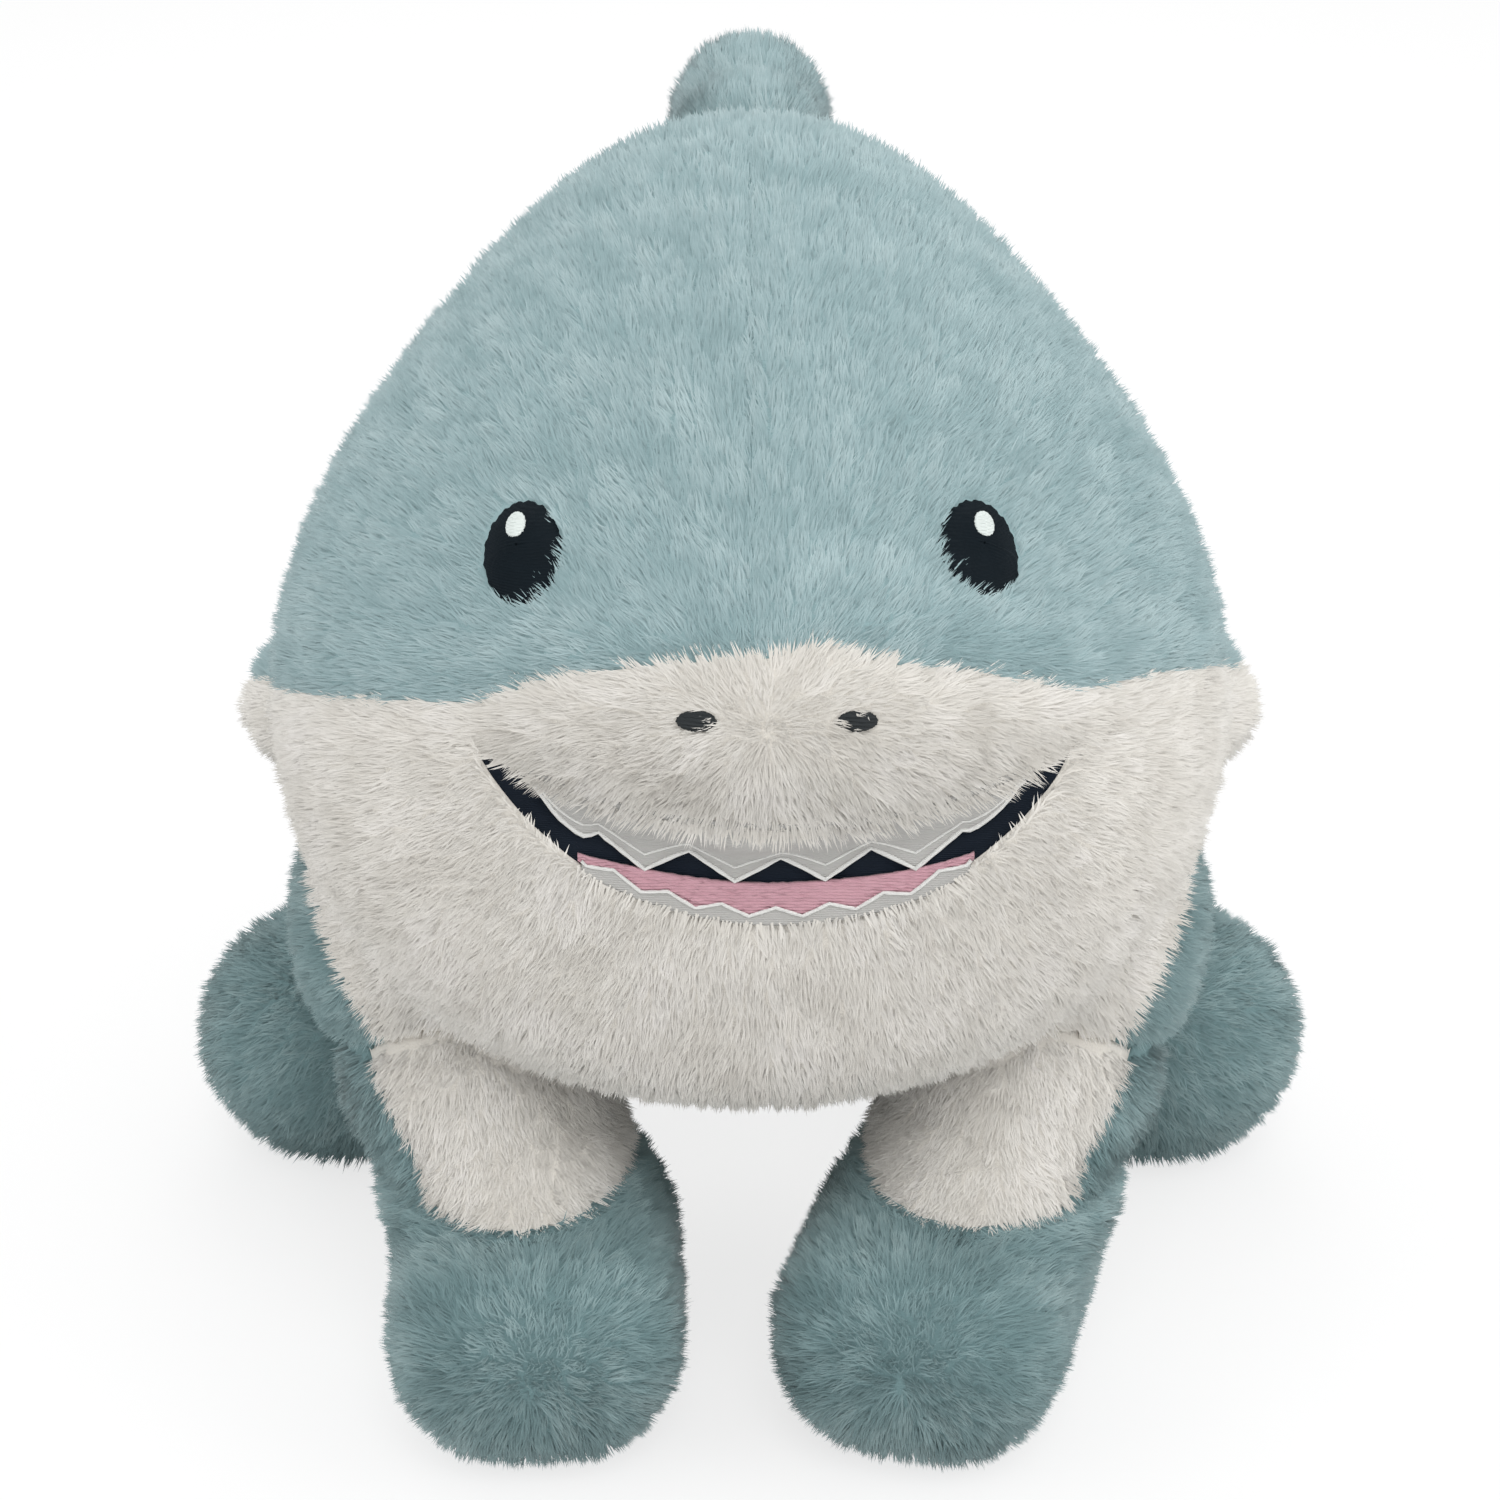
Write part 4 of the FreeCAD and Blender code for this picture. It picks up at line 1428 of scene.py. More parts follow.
@dataclass
class Trunk(StuffedPart):
    """Head and trunk in one sack: blue over the top, white below the colour seam.

    The colour seam is a broken line by Y. It has a peak over the nose, and a lift towards the cheek on one
    side. The limbs' blue runs up the outer edge of the shoulders, which leans outwards as it rises.
    """

    seam_y: tuple[float, ...] = (-168 * MM, -152 * MM, -132 * MM, -50 * MM)
    seam_z: tuple[float, ...] = (221 * MM, 202 * MM, 195 * MM, 168 * MM)
    steep_y: float = -132 * MM
    steep_share: float = 0.6
    gentle_share: float = 0.94
    peak: Triple = (17 * MM, 9 * MM, 5 * MM)
    peak_y: Pair = (-135 * MM, -25 * MM)
    lift: float = 6 * MM
    lift_x: Pair = (45 * MM, 50 * MM)
    lift_y: Pair = (-40 * MM, -60 * MM)
    side_x: float = 92 * MM
    side_ease: float = 2 * MM
    middle_ease: float = 2.6 * MM
    middle_fade: Pair = (0.15, 60 * MM)
    belly_y: float = -104 * MM
    nose: Triple = (4 * MM, -172 * MM, 203 * MM)
    edge_reach: float = 2.5 * MM
    satin_room: float = 1.4 * MM
    satin_rise: float = 1.5 * MM
    shoulder_x: float = 90 * MM
    shoulder_lean: float = 0.5
    shoulder_z: Pair = (95 * MM, 152 * MM)

    @classmethod
    def made(cls) -> "Trunk":
        """The trunk with its panels and the hollows for the limbs.

        Returns:
            The part, not yet sewn.
        """
        panels = [Panel("top_panel_left", BLUE, 1.95, far=0.5), Panel("top_panel_right", BLUE, 1.95, far=0.5),
                  Panel("muzzle_panel", WHITE, 2.5), Panel("chin_panel", WHITE, 2.0),
                  Panel("belly_panel", WHITE, 0.3),
                  Panel("side_panel_left", WHITE, 2.0, far=0.45, trim=SHADED_LIMB_BLUE),
                  Panel("side_panel_right", WHITE, 2.0, far=0.45, trim=SHADED_LIMB_BLUE)]
        sockets = [*(Socket(f"front_{side.word}_hip", (38 * MM,) * 3) for side in Side),
                   *(Socket(f"rear_{side.word}_hip", (36 * MM,) * 3) for side in Side),
                   Socket("fin_flex", (24 * MM, 42 * MM, 24 * MM), math.radians(-40)),
                   Socket("tail_swing", (32 * MM,) * 3)]
        return cls("trunk", "body_stuffing", panels, sockets=sockets)

    def sewn_lines(self) -> list[tuple[Cut, Place]]:
        """The middle, the two sides, the belly's front edge, the colour seam and the mouth's edges."""
        return [(Cut.X, 0.0), (Cut.X, -self.side_x), (Cut.X, self.side_x), (Cut.Y, self.belly_y),
                (Cut.LEVEL, self.colour_seam), (Cut.LEVEL, lambda points: MOUTH.lip(points[:, 0])),
                (Cut.LEVEL, lambda points: MOUTH.jaw(points[:, 0]))]

    def colour_seam(self, points: np.ndarray) -> np.ndarray:
        """The height of the colour seam.

        Args:
            points: one row for each place over the plan.
        Returns:
            The height at each.
        """
        x, y = points[:, 0], points[:, 1]
        middle, half, height = self.peak
        peak = height * bell(x, middle, half)
        lift = self.lift * ramp(x, *self.lift_x) * ramp(y, *self.lift_y)
        return np.interp(y, self.seam_y, self.seam_z) + ramp(y, *self.peak_y) * peak + lift

    def seam_distance(self, points: np.ndarray) -> np.ndarray:
        """How far points lie from the colour seam, the two side seams and the middle seam of the top.

        The colour seam's is the height over it, less where the seam is steep. The eases make the other seams'
        grooves shallower, and the middle seam fades out towards the colour seam.

        Args:
            points: one row for each.
        Returns:
            The distance of each.
        """
        x, y, z = points.T
        level = self.colour_seam(points)
        colour = abs(z - level) * np.where(y < self.steep_y, self.steep_share, self.gentle_share)
        sides = np.where(z < level, abs(abs(x) - self.side_x), FAR_OFF)
        fade, above = self.middle_fade
        middle = abs(x) + fade * np.maximum(level + above - z, 0)
        return np.minimum(np.minimum(colour, sides + self.side_ease), middle + self.middle_ease)

    def panel_numbers(self, points: np.ndarray) -> np.ndarray:
        """Which panel each point lies on: two tops, muzzle, chin, belly, two sides.

        Args:
            points: one row for each.
        Returns:
            The number of each point's panel, or -1 in the mouth.
        """
        x, y, z = points.T
        top = z > self.colour_seam(points)
        muzzle = (y < MOUTH.depth) & (abs(x) < self.side_x) & (z > np.minimum(MOUTH.lip(x), MOUTH.level))
        return np.select([top & (x < 0), top, MOUTH.holds(points), muzzle, abs(x) >= self.side_x,
                          y < self.belly_y], [0, 1, -1, 2, np.where(x < 0, 5, 6), 3], 4)

    def lay(self, points: np.ndarray) -> np.ndarray:
        """The pile is brushed away from the nose, and upwards over the lower edge at the mouth's corners.

        Args:
            points: one row for each.
        Returns:
            The direction at each.
        """
        x, y, z = points.T
        across = abs(x - MOUTH.middle)
        edge = bell(z, MOUTH.jaw(x), self.edge_reach)
        edge *= (across > MOUTH.lower_half) & (across < MOUTH.half) & (y < MOUTH.depth)
        away = unit(points - np.array(self.nose))
        return away * (1 - edge[:, None]) + edge[:, None] * np.array([0.0, 0.0, 1.0])

    def bare(self, points: np.ndarray) -> np.ndarray:
        """No pile grows in the mouth or under the embroidery."""
        return np.any([MOUTH.bare(points), *(spot.holds(points) for spot in SPOTS)], axis=0)

    def raised(self, roots: np.ndarray) -> np.ndarray:
        """The pile along the mouth's edges stands on the teeth's satin."""
        return np.where(MOUTH.holds(roots, self.satin_room), self.satin_rise, 0.0)

    def trimmed(self, points: np.ndarray) -> np.ndarray:
        """Marks the outer edge of the shoulders.

        Args:
            points: one row for each.
        Returns:
            True for each point on it.
        """
        x, _, z = points.T
        foot, top = self.shoulder_z
        return (abs(x) > self.shoulder_x + self.shoulder_lean * (z - foot)) & (z < top)


# ---------------------------------------------------------------- the face

@dataclass(frozen=True)
class Spot:
    """A place of oval embroidery: its node, its middle, and its half sizes along its own two axes.

    Clear is the share of its size over which no pile hangs.
    """

    node: str
    middle: Triple
    across: Triple
    upwards: Triple
    wide: float
    high: float
    clear: float = 1.0
    deep: float = 25 * MM

    def axes(self) -> tuple[np.ndarray, np.ndarray, np.ndarray]:
        """The oval's own directions.

        Returns:
            Across, up, and out of the skin.
        """
        right = unit(np.array(self.across))
        out = unit(np.cross(right, np.array(self.upwards)))
        return right, np.cross(out, right), out

    def holds(self, points: np.ndarray) -> np.ndarray:
        """Marks the points over the oval, where the skin is covered.

        Args:
            points: one row for each.
        Returns:
            True for each point over it.
        """
        right, up, out = self.axes()
        away = points - np.array(self.middle)
        near = abs(away @ out) < self.deep
        return near & (((away @ right) / self.wide) ** 2 + ((away @ up) / self.high) ** 2 < self.clear ** 2)


def node_middle(node: str) -> np.ndarray:
    """The middle of a node's box."""
    low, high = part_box(node)
    return (np.array(low) + np.array(high)) / 2


def eye_spot(side: Side) -> Spot:
    """The place of an eye: turned to its side, tilted back with the forehead, and rolled towards the nose.

    Args:
        side: which eye.
    Returns:
        The spot, on the eye's node.
    """
    turned, tilted, rolled = 22, 44, 22
    yaw, pitch = math.radians(turned * side.value), math.radians(tilted)
    roll = -side.value * math.radians(rolled)
    right = np.array([math.cos(yaw), math.sin(yaw), 0.0])
    up = np.array([-math.sin(yaw) * math.sin(pitch), math.cos(yaw) * math.sin(pitch), math.cos(pitch)])
    node = f"eye_{side.word}"
    return Spot(node, tuple(node_middle(node)), tuple(right * math.cos(roll) + up * math.sin(roll)),
                tuple(up * math.cos(roll) - right * math.sin(roll)), wide=10 * MM, high=14 * MM)


def nostril_spot(side: Side) -> Spot:
    """The place of a nostril, on its node."""
    node = f"nostril_{side.word}"
    return Spot(node, tuple(node_middle(node)), (1, 0, 0), (0, 0.25, 1), wide=4.6 * MM, high=2.4 * MM,
                clear=0.85)


SPOTS = [place_of(side) for side in Side for place_of in (eye_spot, nostril_spot)]


@dataclass
class Face:
    """The mouth and the embroidery on the trunk's skin.

    The satin pieces are patches of even thickness, each a little higher than the one before: lining, upper
    teeth, tongue, lower teeth. The upper teeth carry a bold and a fine line of stitching, each on a row of
    the patch's grid. The eyes, glints and nostrils are domes, sunk a little, with ridges of thread that
    wander and a frayed rim.
    """

    sack: bpy.types.Object
    body: str = "trunk"
    in_front: float = -260 * MM
    level_out: float = 0.05
    satin_thick: float = 0.9 * MM
    tooth_steps: int = 12
    stitch: float = 1.6 * MM
    stitch_least: float = 0.85
    stitch_more: float = 0.25
    lining_past: float = 1 * MM
    lining_below: float = 0.7 * MM
    lining_thick: float = 1.6 * MM
    upper_least: float = 0.08
    upper_tuck: float = 2.5 * MM
    upper_rise: float = 0.7 * MM
    upper_notch: float = 1 * MM
    upper_lines: tuple[tuple[int, float], ...] = ((15, 0.55 * MM), (12, 0.3 * MM))
    tongue_least: float = 0.6 * MM
    tongue_rise: float = 0.9 * MM
    tongue_thick: float = 1.2 * MM
    lower_tuck: float = 1.2 * MM
    lower_rise: float = 1.4 * MM
    lower_line: float = 0.45 * MM
    dome_rings: int = 26
    dome_steps: int = 97
    dome_hub: float = 0.02
    dome_sunk: float = 0.8 * MM
    dome_base: float = 0.9 * MM
    eye_rise: float = 1.8 * MM
    nostril_rise: float = 1.0 * MM
    glint_size: Pair = (2.6 * MM, 3.9 * MM)
    glint_base: float = 2.6 * MM
    glint_rise: float = 0.7 * MM
    glint_up: float = 5.8 * MM
    ridge_row: float = 0.9 * MM
    ridge_deep: float = 0.12 * MM
    ridge_wander: float = 3 * MM
    fray_deep: float = 0.035
    fray_waves: Pair = (23, 7)

    def laid(self, grid: np.ndarray, way: Wrap) -> tuple[np.ndarray, np.ndarray]:
        """A grid of points laid on the skin, and the grid's smooth normals there.

        Args:
            grid: rows by columns by three.
            way: how it is laid.
        Returns:
            The points on the skin, and the normals, which face forwards if the grid is pushed back.
        """
        settings = {"wrap_method": way.value}
        if way is Wrap.BACK:
            settings.update(use_project_y=True, use_positive_direction=True)
        found = wrapped(grid.reshape(-1, 3), self.sack, settings).reshape(grid.shape)
        down, right = np.gradient(found, axis=(0, 1))
        out = unit(np.cross(right, down))
        if way is Wrap.BACK:
            out *= np.where(out[..., 1:2] > self.level_out, -1, 1)
        return found, out

    def dress(self, piece: bpy.types.Object, cloth: Cloth, *nodes: str) -> None:
        """Gives a piece its fabric, its body and the nodes it stands for.

        Args:
            piece: the piece.
            cloth: its fabric.
            nodes: the nodes, if it stands for any.
        """
        piece.data.materials.append(cloth.material())
        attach(piece, self.body)
        if nodes:
            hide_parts(*nodes)
        report(piece, len(piece.data.polygons), "faces")

    def strip(self, name: str, x: np.ndarray, top: np.ndarray, bottom: np.ndarray, rows: int, rise: float,
              thick: float, uneven: tuple[float, float, int] = (0.0, 1.0, 0)) -> Patch:
        """A patch between two lines across the mouth.

        Args:
            name: the piece's name.
            x: places across.
            top: the height of its upper edge at each.
            bottom: the height of its lower edge at each.
            rows: how many rows of points run between the edges.
            rise: how far the front lies out of the skin.
            thick: the patch's thickness.
            uneven: how much the front is rippled, over what length, and by which random numbers.
        Returns:
            The piece, its front points and its normals.
        """
        share = np.linspace(0, 1, rows)[:, None]
        heights = top[None] * (1 - share) + bottom[None] * share
        across, before = np.broadcast_to(x, heights.shape), np.full(heights.shape, self.in_front)
        skin, out = self.laid(np.stack([across, before, heights], -1), Wrap.BACK)
        height, size, seed = uneven
        front = skin + out * (rise + height * ripple(skin, size, seed))[..., None]
        return piece_of(name, slab(name, front, front - out * thick)), front, out

    def stitching(self, name: str, path: np.ndarray, out: np.ndarray, radius: float) -> None:
        """A raised line of stitching: a six-sided tube along a path on the skin, swelling at each stitch.

        Args:
            name: the piece's name.
            path: the points that it follows.
            out: the skin's normal at each.
            radius: the tube's radius.
        """
        forward = unit(np.gradient(path, axis=0))
        side = unit(np.cross(out, forward))
        turn = np.linspace(0, 2 * math.pi, 6, endpoint=False)[None, :, None]
        step = np.append(0, np.cumsum(np.linalg.norm(np.diff(path, axis=0), axis=1)))
        bulge = self.stitch_least + self.stitch_more * abs(np.sin(step * math.pi / self.stitch))
        swell = radius * bulge[:, None, None]
        ring = path[:, None] + swell * (np.cos(turn) * side[:, None] + np.sin(turn) * out[:, None])
        rows, columns = ring.shape[:2]
        quads, cap = ring_quads(rows, columns), np.arange(columns)
        faces = np.concatenate([quads.ravel(), cap[::-1], cap + (rows - 1) * columns])
        counts = np.append(np.full(len(quads), 4), [columns, columns])
        self.dress(piece_of(name, outward(mesh_of(name, ring.reshape(-1, 3), faces, counts))), THREAD)

    def zigzag(self, half: float, pitch: float, notch: float) -> tuple[np.ndarray, np.ndarray]:
        """Places across a row of teeth and how far each lies between a notch, at 0, and a tip, at 1.

        The places step by an even part of the pitch out from one notch, so that no tip or notch is missed.

        Args:
            half: half the row's width.
            pitch: the width of a tooth.
            notch: how far a notch lies from the mouth's middle.
        Returns:
            The places and the shares.
        """
        step = pitch / self.tooth_steps
        first, last = math.ceil((-half - notch) / step), math.floor((half - notch) / step)
        count = np.arange(first, last + 1)
        return MOUTH.middle + notch + count * step, 1 - abs(((count / self.tooth_steps) % 1) * 2 - 1)

    def build_lining(self) -> None:
        """The navy satin at the back of the mouth, a little past its edges."""
        past = self.lining_past
        x = np.linspace(MOUTH.middle - MOUTH.half - past, MOUTH.middle + MOUTH.half + past, 120)
        top, bottom = MOUTH.lip(x) + past, MOUTH.jaw(x) - self.lining_below
        lining, _, _ = self.strip("mouth_lining_satin", x, top, bottom, rows=26, rise=-0.5 * MM,
                                  thick=self.lining_thick, uneven=(0.2 * MM, 14 * MM, 3))
        self.dress(lining, NAVY, "mouth_lining")

    def build_upper_teeth(self) -> None:
        """The upper teeth, smaller towards the ends of the row, with a bold and a fine line of stitching."""
        x, tooth = self.zigzag(MOUTH.upper_half, MOUTH.upper_pitch, self.upper_notch)
        lip, full = MOUTH.lip(x), np.maximum(MOUTH.fullness(x), self.upper_least)
        edge = lip - (MOUTH.upper_gum + tooth * MOUTH.upper_tooth) * full
        teeth, front, out = self.strip("upper_teeth_satin", x, lip + self.upper_tuck, edge, rows=16,
                                       rise=self.upper_rise, thick=self.satin_thick)
        self.dress(teeth, SATIN, "upper_teeth")
        for number, (row, radius) in enumerate(self.upper_lines):
            self.stitching(f"upper_teeth_stitching_{number + 1}", front[row], out[row], radius)

    def build_tongue(self) -> None:
        """The tongue: short looped terry between its own arc and the mouth's lower edge."""
        x = np.linspace(MOUTH.middle - MOUTH.tongue_half, MOUTH.middle + MOUTH.tongue_half, 84)
        top = MOUTH.arc(x, MOUTH.tongue_sag, MOUTH.tongue_half, MOUTH.tongue_level)
        bottom = np.minimum(MOUTH.jaw(x) + MOUTH.jaw_rim, top - self.tongue_least)
        tongue, _, _ = self.strip("tongue_terry", x, top, bottom, rows=14, rise=self.tongue_rise,
                                  thick=self.tongue_thick, uneven=(0.3 * MM, 1.7 * MM, 4))
        self.dress(tongue, TERRY, "tongue")

    def build_lower_teeth(self) -> None:
        """The lower teeth along the mouth's lower edge, with one line of stitching on their tips."""
        x, tooth = self.zigzag(MOUTH.lower_half, MOUTH.lower_pitch, MOUTH.lower_pitch / 2)
        jaw = MOUTH.jaw(x)
        edge = jaw + MOUTH.lower_gum + tooth * MOUTH.lower_tooth
        lower, front, out = self.strip("lower_teeth_satin", x, edge, jaw - self.lower_tuck, rows=8,
                                       rise=self.lower_rise, thick=self.satin_thick)
        self.dress(lower, SATIN, "lower_teeth")
        self.stitching("lower_teeth_stitching", front[0], out[0], self.lower_line)

    def oval(self, name: str, spot: Spot, size: tuple[float, float], base: float, rise: float,
             shift: float = 0.0) -> bpy.types.Object:
        """A dome of satin stitch on the skin.

        The grid is polar: radius by angle. The dome's height falls from the middle to the rim as the root of
        one less the radius squared; rows of thread ridge it, and a fast wave of the angle frays the rim.

        Args:
            name: the piece's name.
            spot: the place whose axes it has.
            size: half its width and half its height.
            base: how far its rim stands off the skin.
            rise: how far its middle stands over its rim.
            shift: how far it lies above the place's middle.
        Returns:
            The piece.
        """
        wide, high = size
        right, up, out = spot.axes()
        radius = np.linspace(self.dome_hub, 1, self.dome_rings)[:, None]
        angle = np.linspace(0, 2 * math.pi, self.dome_steps)[None]
        fast, slow = self.fray_waves
        fray = 1 + self.fray_deep * np.sin(angle * fast) * np.sin(angle * slow + 1) * radius ** 4
        a, b = radius * fray * np.cos(angle) * wide, radius * fray * np.sin(angle) * high
        middle = np.array(spot.middle) + up * shift
        skin, _ = self.laid(middle + a[..., None] * right + b[..., None] * up, Wrap.NEAREST)
        wander = 2 * np.sin(a / self.ridge_wander)
        ridge = self.ridge_deep * np.sin(b * 2 * math.pi / self.ridge_row + wander)
        height = base + (rise * np.sqrt(np.clip(1 - radius ** 2, 0, 1)) + ridge * (1 - radius ** 6))
        return piece_of(name, slab(name, skin + out * height[..., None], skin - out * self.dome_sunk))

    def build_spots(self) -> None:
        """The eyes with their glints, and the nostrils."""
        for spot in SPOTS:
            eye = spot.node.startswith("eye")
            stitch = self.oval(f"{spot.node}_stitch", spot, (spot.wide, spot.high), self.dome_base,
                               self.eye_rise if eye else self.nostril_rise)
            self.dress(stitch, INK if eye else GREY, spot.node)
            if eye:
                node = spot.node.replace("eye", "eye_glint")
                glint = self.oval(f"{node}_stitch", spot, self.glint_size, self.glint_base, self.glint_rise,
                                  self.glint_up)
                self.dress(glint, GLINT, node)


# ---------------------------------------------------------------- limbs, fin and tail

@dataclass
class FrontLeg(StuffedPart):
    """A front leg: white face, blue outer strip, blue mitten and sole."""

    ankle: float = 60 * MM
    strip_x: float = 90 * MM
    strip_z: float = 80 * MM
    strip_lean: float = math.radians(28)
    strip_ease: float = 2 * MM
    ground: float = 6 * MM
    paw_lay: Pair = (62 * MM, -12 * MM)
    paw_pull: float = 1.2
    down: Triple = (0.0, -0.25, -1.0)
    toe: Triple = (-54 * MM, -183 * MM, 32 * MM)
    side: Side = Side.LEFT

    @classmethod
    def made(cls, side: Side) -> "FrontLeg":
        """A front leg with its panels.

        Args:
            side: which leg.
        Returns:
            The part, not yet sewn.
        """
        word = side.word
        panels = [Panel(f"front_sole_{word}", SHADED_LIMB_BLUE, 0.4, 0.4), Panel(f"front_paw_{word}", SHADED_LIMB_BLUE, 1.7),
                  Panel(f"front_leg_side_{word}", SHADED_LIMB_BLUE, 1.6), Panel(f"front_leg_face_{word}", WHITE, 1.9)]
        toe = cls.toe if side is Side.LEFT else (36 * MM, -181 * MM, 32 * MM)
        return cls(f"front_leg_{word}", f"front_leg_stuffing_{word}", panels, side=side, toe=toe)

    def sewn_lines(self) -> list[tuple[Cut, Place]]:
        """The ankle, the sole's edge and the outer strip's edge."""
        return [(Cut.LEVEL, flat(self.ankle)), (Cut.LEVEL, flat(self.ground)), (Cut.LEVEL, self.strip_seam)]

    def strip_seam(self, points: np.ndarray) -> np.ndarray:
        """The height below which the outer strip lies: a plane that leans outwards as it rises."""
        return self.strip_z + (points[:, 0] * self.side.value - self.strip_x) / math.tan(self.strip_lean)

    def seam_distance(self, points: np.ndarray) -> np.ndarray:
        """How far points lie from the ankle seam and the outer strip's seam.

        Args:
            points: one row for each.
        Returns:
            The distance of each.
        """
        z = points[:, 2]
        strip = abs(z - self.strip_seam(points)) * math.sin(self.strip_lean)
        return np.minimum(abs(z - self.ankle), np.where(z > self.ankle, strip + self.strip_ease, FAR_OFF))

    def panel_numbers(self, points: np.ndarray) -> np.ndarray:
        """Which panel each point lies on: sole, paw, side strip, face."""
        z = points[:, 2]
        return np.select([z < self.ground, z < self.ankle, z < self.strip_seam(points)], [0, 1, 2], 3)

    def lay(self, points: np.ndarray) -> np.ndarray:
        """Down the leg, and away from the middle of the toe on the paw."""
        low = ramp(points[:, 2:], *self.paw_lay)
        return (1 - low) * np.array(self.down) + low * unit(points - np.array(self.toe)) * self.paw_pull


@dataclass
class RearLeg(StuffedPart):
    """A rear leg: blue thigh, foot and sole. Its pile has less room at the hip than outwards."""

    inset: float = 2.2 * MM
    cuff: float = 94 * MM
    cuff_ease: float = 1 * MM
    ground: float = 6 * MM
    hip_x: Pair = (70 * MM, 25 * MM)
    hip_share: float = 0.15
    rest_share: float = 0.85
    side: Side = Side.LEFT

    @classmethod
    def made(cls, side: Side) -> "RearLeg":
        """A rear leg with its panels.

        Args:
            side: which leg.
        Returns:
            The part, not yet sewn.
        """
        word = side.word
        panels = [Panel(f"rear_sole_{word}", SHADED_LIMB_BLUE, 0.4, 0.4), Panel(f"rear_foot_{word}", SHADED_LIMB_BLUE, 1.1),
                  Panel(f"rear_thigh_{word}", SHADED_LIMB_BLUE, 0.4)]
        return cls(f"rear_leg_{word}", f"rear_leg_stuffing_{word}", panels, side=side)

    def sewn_lines(self) -> list[tuple[Cut, Place]]:
        """The foot's cuff and the sole's edge."""
        return [(Cut.X, self.cuff * self.side.value), (Cut.LEVEL, flat(self.ground))]

    def seam_distance(self, points: np.ndarray) -> np.ndarray:
        """How far points lie from the foot's cuff."""
        return abs(points[:, 0] * self.side.value - self.cuff) + self.cuff_ease

    def depth(self, points: np.ndarray) -> np.ndarray:
        """Less at the hip, where the thigh fills its socket, than at the foot."""
        out = ramp(points[:, 0] * self.side.value, *self.hip_x)
        return self.inset * (self.hip_share + self.rest_share * out)

    def panel_numbers(self, points: np.ndarray) -> np.ndarray:
        """Which panel each point lies on: sole, foot, thigh."""
        x, _, z = points.T
        return np.select([z < self.ground, x * self.side.value > self.cuff], [0, 1], 2)

    def lay(self, points: np.ndarray) -> np.ndarray:
        """Down and outwards, to the foot's edge."""
        return np.tile([0.8 * self.side.value, 0.1, -0.7], (len(points), 1))


@dataclass
class SlimPart(StuffedPart):
    """A part too slim for the trunk's mesh: finer faces, which swell less."""

    voxel: float = 3.5 * MM
    swell: float = 3 * MM
    tuck: float = 1.5 * MM


@dataclass
class BackFin(SlimPart):
    """The back fin: two halves joined on the middle plane, its skin a little proud of the sack."""

    inset: float = -0.6 * MM
    groove: float = 0.5 * MM

    @classmethod
    def made(cls) -> "BackFin":
        """The fin with its panels."""
        panels = [Panel(f"back_fin_{side.word}", BLUE, 1.8) for side in Side]
        return cls("back_fin", "back_fin_stuffing", panels)

    def sewn_lines(self) -> list[tuple[Cut, Place]]:
        """The middle seam."""
        return [(Cut.X, 0.0)]

    def seam_distance(self, points: np.ndarray) -> np.ndarray:
        """How far points lie from the middle seam."""
        return abs(points[:, 0])

    def panel_numbers(self, points: np.ndarray) -> np.ndarray:
        """Which half each point lies on."""
        return (points[:, 0] > 0).astype(int)

    def lay(self, points: np.ndarray) -> np.ndarray:
        """Up and back, to the fin's tip."""
        return np.tile([0.0, 0.5, 1.0], (len(points), 1))


@dataclass
class Tail(SlimPart):
    """The tail: a stalk and two lobes, each in two halves."""

    inset: float = 0.8 * MM
    lobe: float = 146 * MM
    lobe_ease: float = 1 * MM
    middle_z: float = 198 * MM
    lobe_half: float = 0.1
    spread: float = 6

    @classmethod
    def made(cls) -> "Tail":
        """The tail with its panels."""
        return cls("tail", "tail_stuffing", [Panel(f"tail_{part}_{side.word}", BLUE, density)
                                             for part, density in (("lobes", 0.7), ("stalk", 0.5))
                                             for side in Side])

    def sewn_lines(self) -> list[tuple[Cut, Place]]:
        """The middle seam, and the seam between stalk and lobes."""
        return [(Cut.X, 0.0), (Cut.Y, self.lobe)]

    def seam_distance(self, points: np.ndarray) -> np.ndarray:
        """How far points lie from the middle seam and the seam between stalk and lobes."""
        return np.minimum(abs(points[:, 0]), abs(points[:, 1] - self.lobe) + self.lobe_ease)

    def panel_numbers(self, points: np.ndarray) -> np.ndarray:
        """Which panel each point lies on: lobes left and right, stalk left and right."""
        return 2 * (points[:, 1] < self.lobe) + (points[:, 0] > 0)

    def lay(self, points: np.ndarray) -> np.ndarray:
        """Back along the tail, and out along the lobes."""
        outwards = self.spread * (points[:, 2] - self.middle_z) / self.lobe_half
        return np.stack([np.zeros(len(points)), np.ones(len(points)), outwards], 1)


def swell_together(parts: Sequence[StuffedPart]) -> None:
    """Blows all sacks up at once.

    Args:
        parts: the stuffed parts.
    """
    for part in parts:
        part.ready_to_swell()
    for number in range(1, SIM_FRAMES + 1):
        bpy.context.scene.frame_set(number)
    for part in parts:
        part.hold_shape()
    bpy.context.scene.frame_set(1)


# ---------------------------------------------------------------- the studio

@dataclass(frozen=True)
class Lamp:
    """A round soft light: where it hangs, its power, and how wide it is. It shines on the toy's middle."""

    name: str
    place: Triple
    power: float
    width: float = 1.4
    aim: Triple = (0.0, 0.0, 0.14)

    def hang(self) -> None:
        """Puts the light in the scene, tilted and turned towards the toy."""
        data = bpy.data.lights.new(self.name, "AREA")
        data.shape, data.size, data.energy = "DISK", self.width, self.power
        light = bpy.data.objects.new(self.name, data)
        light.location = self.place
        x, y, z = np.array(self.aim) - self.place
        tilt, turn = math.atan2(math.hypot(x, y), -z), math.atan2(-x, y)
        light.rotation_euler = (tilt, 0.0, turn)
        bpy.context.scene.collection.objects.link(light)


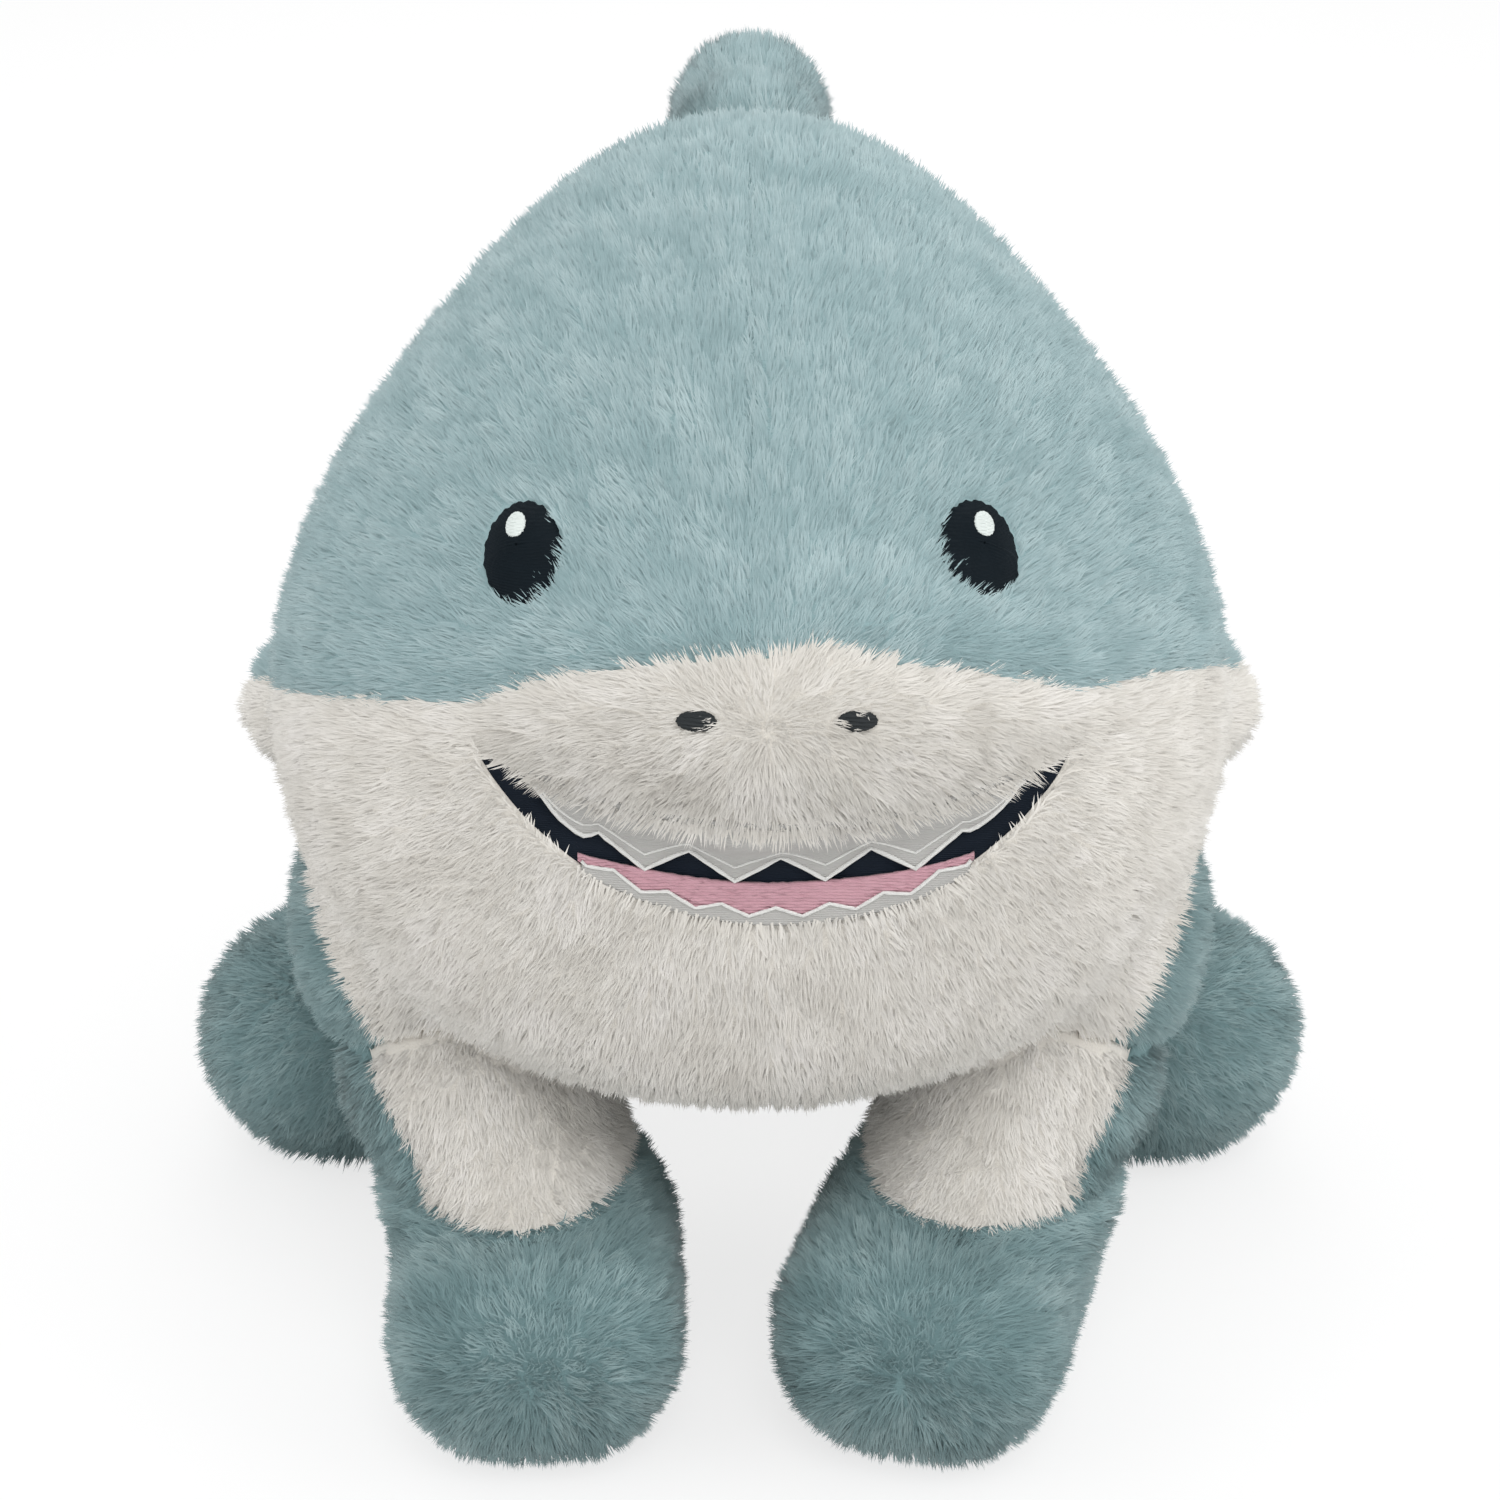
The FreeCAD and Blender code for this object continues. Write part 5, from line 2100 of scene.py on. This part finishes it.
@dataclass
class Studio:
    """Pale floor, soft lights and the camera.

    The lamps are a key over the camera, a fill at each side, and one behind. Ambient is the world's light,
    and glow the share of plain white in the floor where it is seen.
    """

    white: tuple[float, ...] = (1.0, 1.0, 1.0, 1.0)
    pale: tuple[float, ...] = (0.86, 0.86, 0.86, 1.0)
    eye: Triple = (0.0, -0.7991, 0.4735)
    tilt: float = 66.0
    lens: float = 73.44
    rise: float = 0.0133
    ambient: float = 0.82
    glow: float = 0.72
    floor_half: float = 6.0
    lamps: tuple[Lamp, ...] = (Lamp("key", (0.25, -1.3, 2.2), 21.0), Lamp("left", (-1.9, -0.7, 1.1), 7.5),
                               Lamp("right", (1.9, -0.7, 1.1), 11.0), Lamp("back", (0.0, 1.8, 1.6), 9.0))

    def build_camera(self) -> None:
        """The camera in front of the toy, looking a little down."""
        data = bpy.data.cameras.new("camera")
        data.lens, data.sensor_width, data.shift_y = self.lens, 36.0, self.rise
        camera = bpy.data.objects.new("camera", data)
        camera.location, camera.rotation_euler = self.eye, (math.radians(self.tilt), 0.0, 0.0)
        bpy.context.scene.collection.objects.link(camera)
        bpy.context.scene.camera = camera

    def wire_paper(self, wire: Wiring, shader: bpy.types.Node) -> None:
        """Wires the floor's material: mostly plain white where it is seen, and pale paper to the light.

        Args:
            wire: its wiring.
            shader: its shader.
        """
        wire.fill(shader, Base_Color=self.pale, Roughness=0.9)
        glow = wire.add("ShaderNodeEmission", Color=self.white, Strength=1.0)
        both = wire.add("ShaderNodeMixShader", Fac=wire.maths("MULTIPLY", wire.seen(), self.glow),
                        i1=shader.outputs[0], i2=glow.outputs[0])
        wire.fill(wire.tree.nodes["Material Output"], Surface=both.outputs[0])

    def build_floor(self) -> None:
        """A wide pale floor, which looks white to the camera and keeps the toy's shadow."""
        size = self.floor_half
        corners = np.array([[-size, -size, 0], [size, -size, 0], [size, size, 0], [-size, size, 0]], float)
        floor = piece_of("floor", mesh_of("floor", corners, np.arange(4)[None]))
        floor.data.materials.append(material_of("floor_paper", self.wire_paper))

    def build_world(self) -> None:
        """An even pale world that is white where it is seen, shown in plain colours."""
        world = bpy.data.worlds.new("world")
        world.use_nodes = True
        wire = Wiring(world.node_tree)
        level = wire.maths("ADD", wire.maths("MULTIPLY", wire.seen(), 1 - self.ambient), self.ambient)
        wire.fill(wire.tree.nodes["Background"], Color=self.white, Strength=level)
        bpy.context.scene.world = world
        bpy.context.scene.view_settings.view_transform = "Standard"

    def build(self) -> None:
        """Sets up the camera, the floor, the lights and the world."""
        self.build_camera()
        self.build_floor()
        for lamp in self.lamps:
            lamp.hang()
        self.build_world()


def main() -> None:
    """Sews, stuffs and dresses the shark, and sets up the studio."""
    logging.basicConfig(level=logging.INFO, format="%(message)s")
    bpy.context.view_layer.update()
    trunk = Trunk.made()
    legs = [kind.made(side) for side in Side for kind in (FrontLeg, RearLeg)]
    parts = [trunk, *legs, BackFin.made(), Tail.made()]
    for part in parts:
        part.sew()
    swell_together(parts)
    for part in parts:
        part.divide()
        part.make_panels()
    face = Face(trunk.sack)
    face.build_lining()
    face.build_upper_teeth()
    face.build_tongue()
    face.build_lower_teeth()
    face.build_spots()
    trunk.lay_pile([part.sack for part in parts[1:]])
    for part in parts[1:]:
        part.lay_pile([trunk.sack])
    for part in parts:
        discard(part.sack)
    Studio().build()


if __name__ == "__main__":
    main()
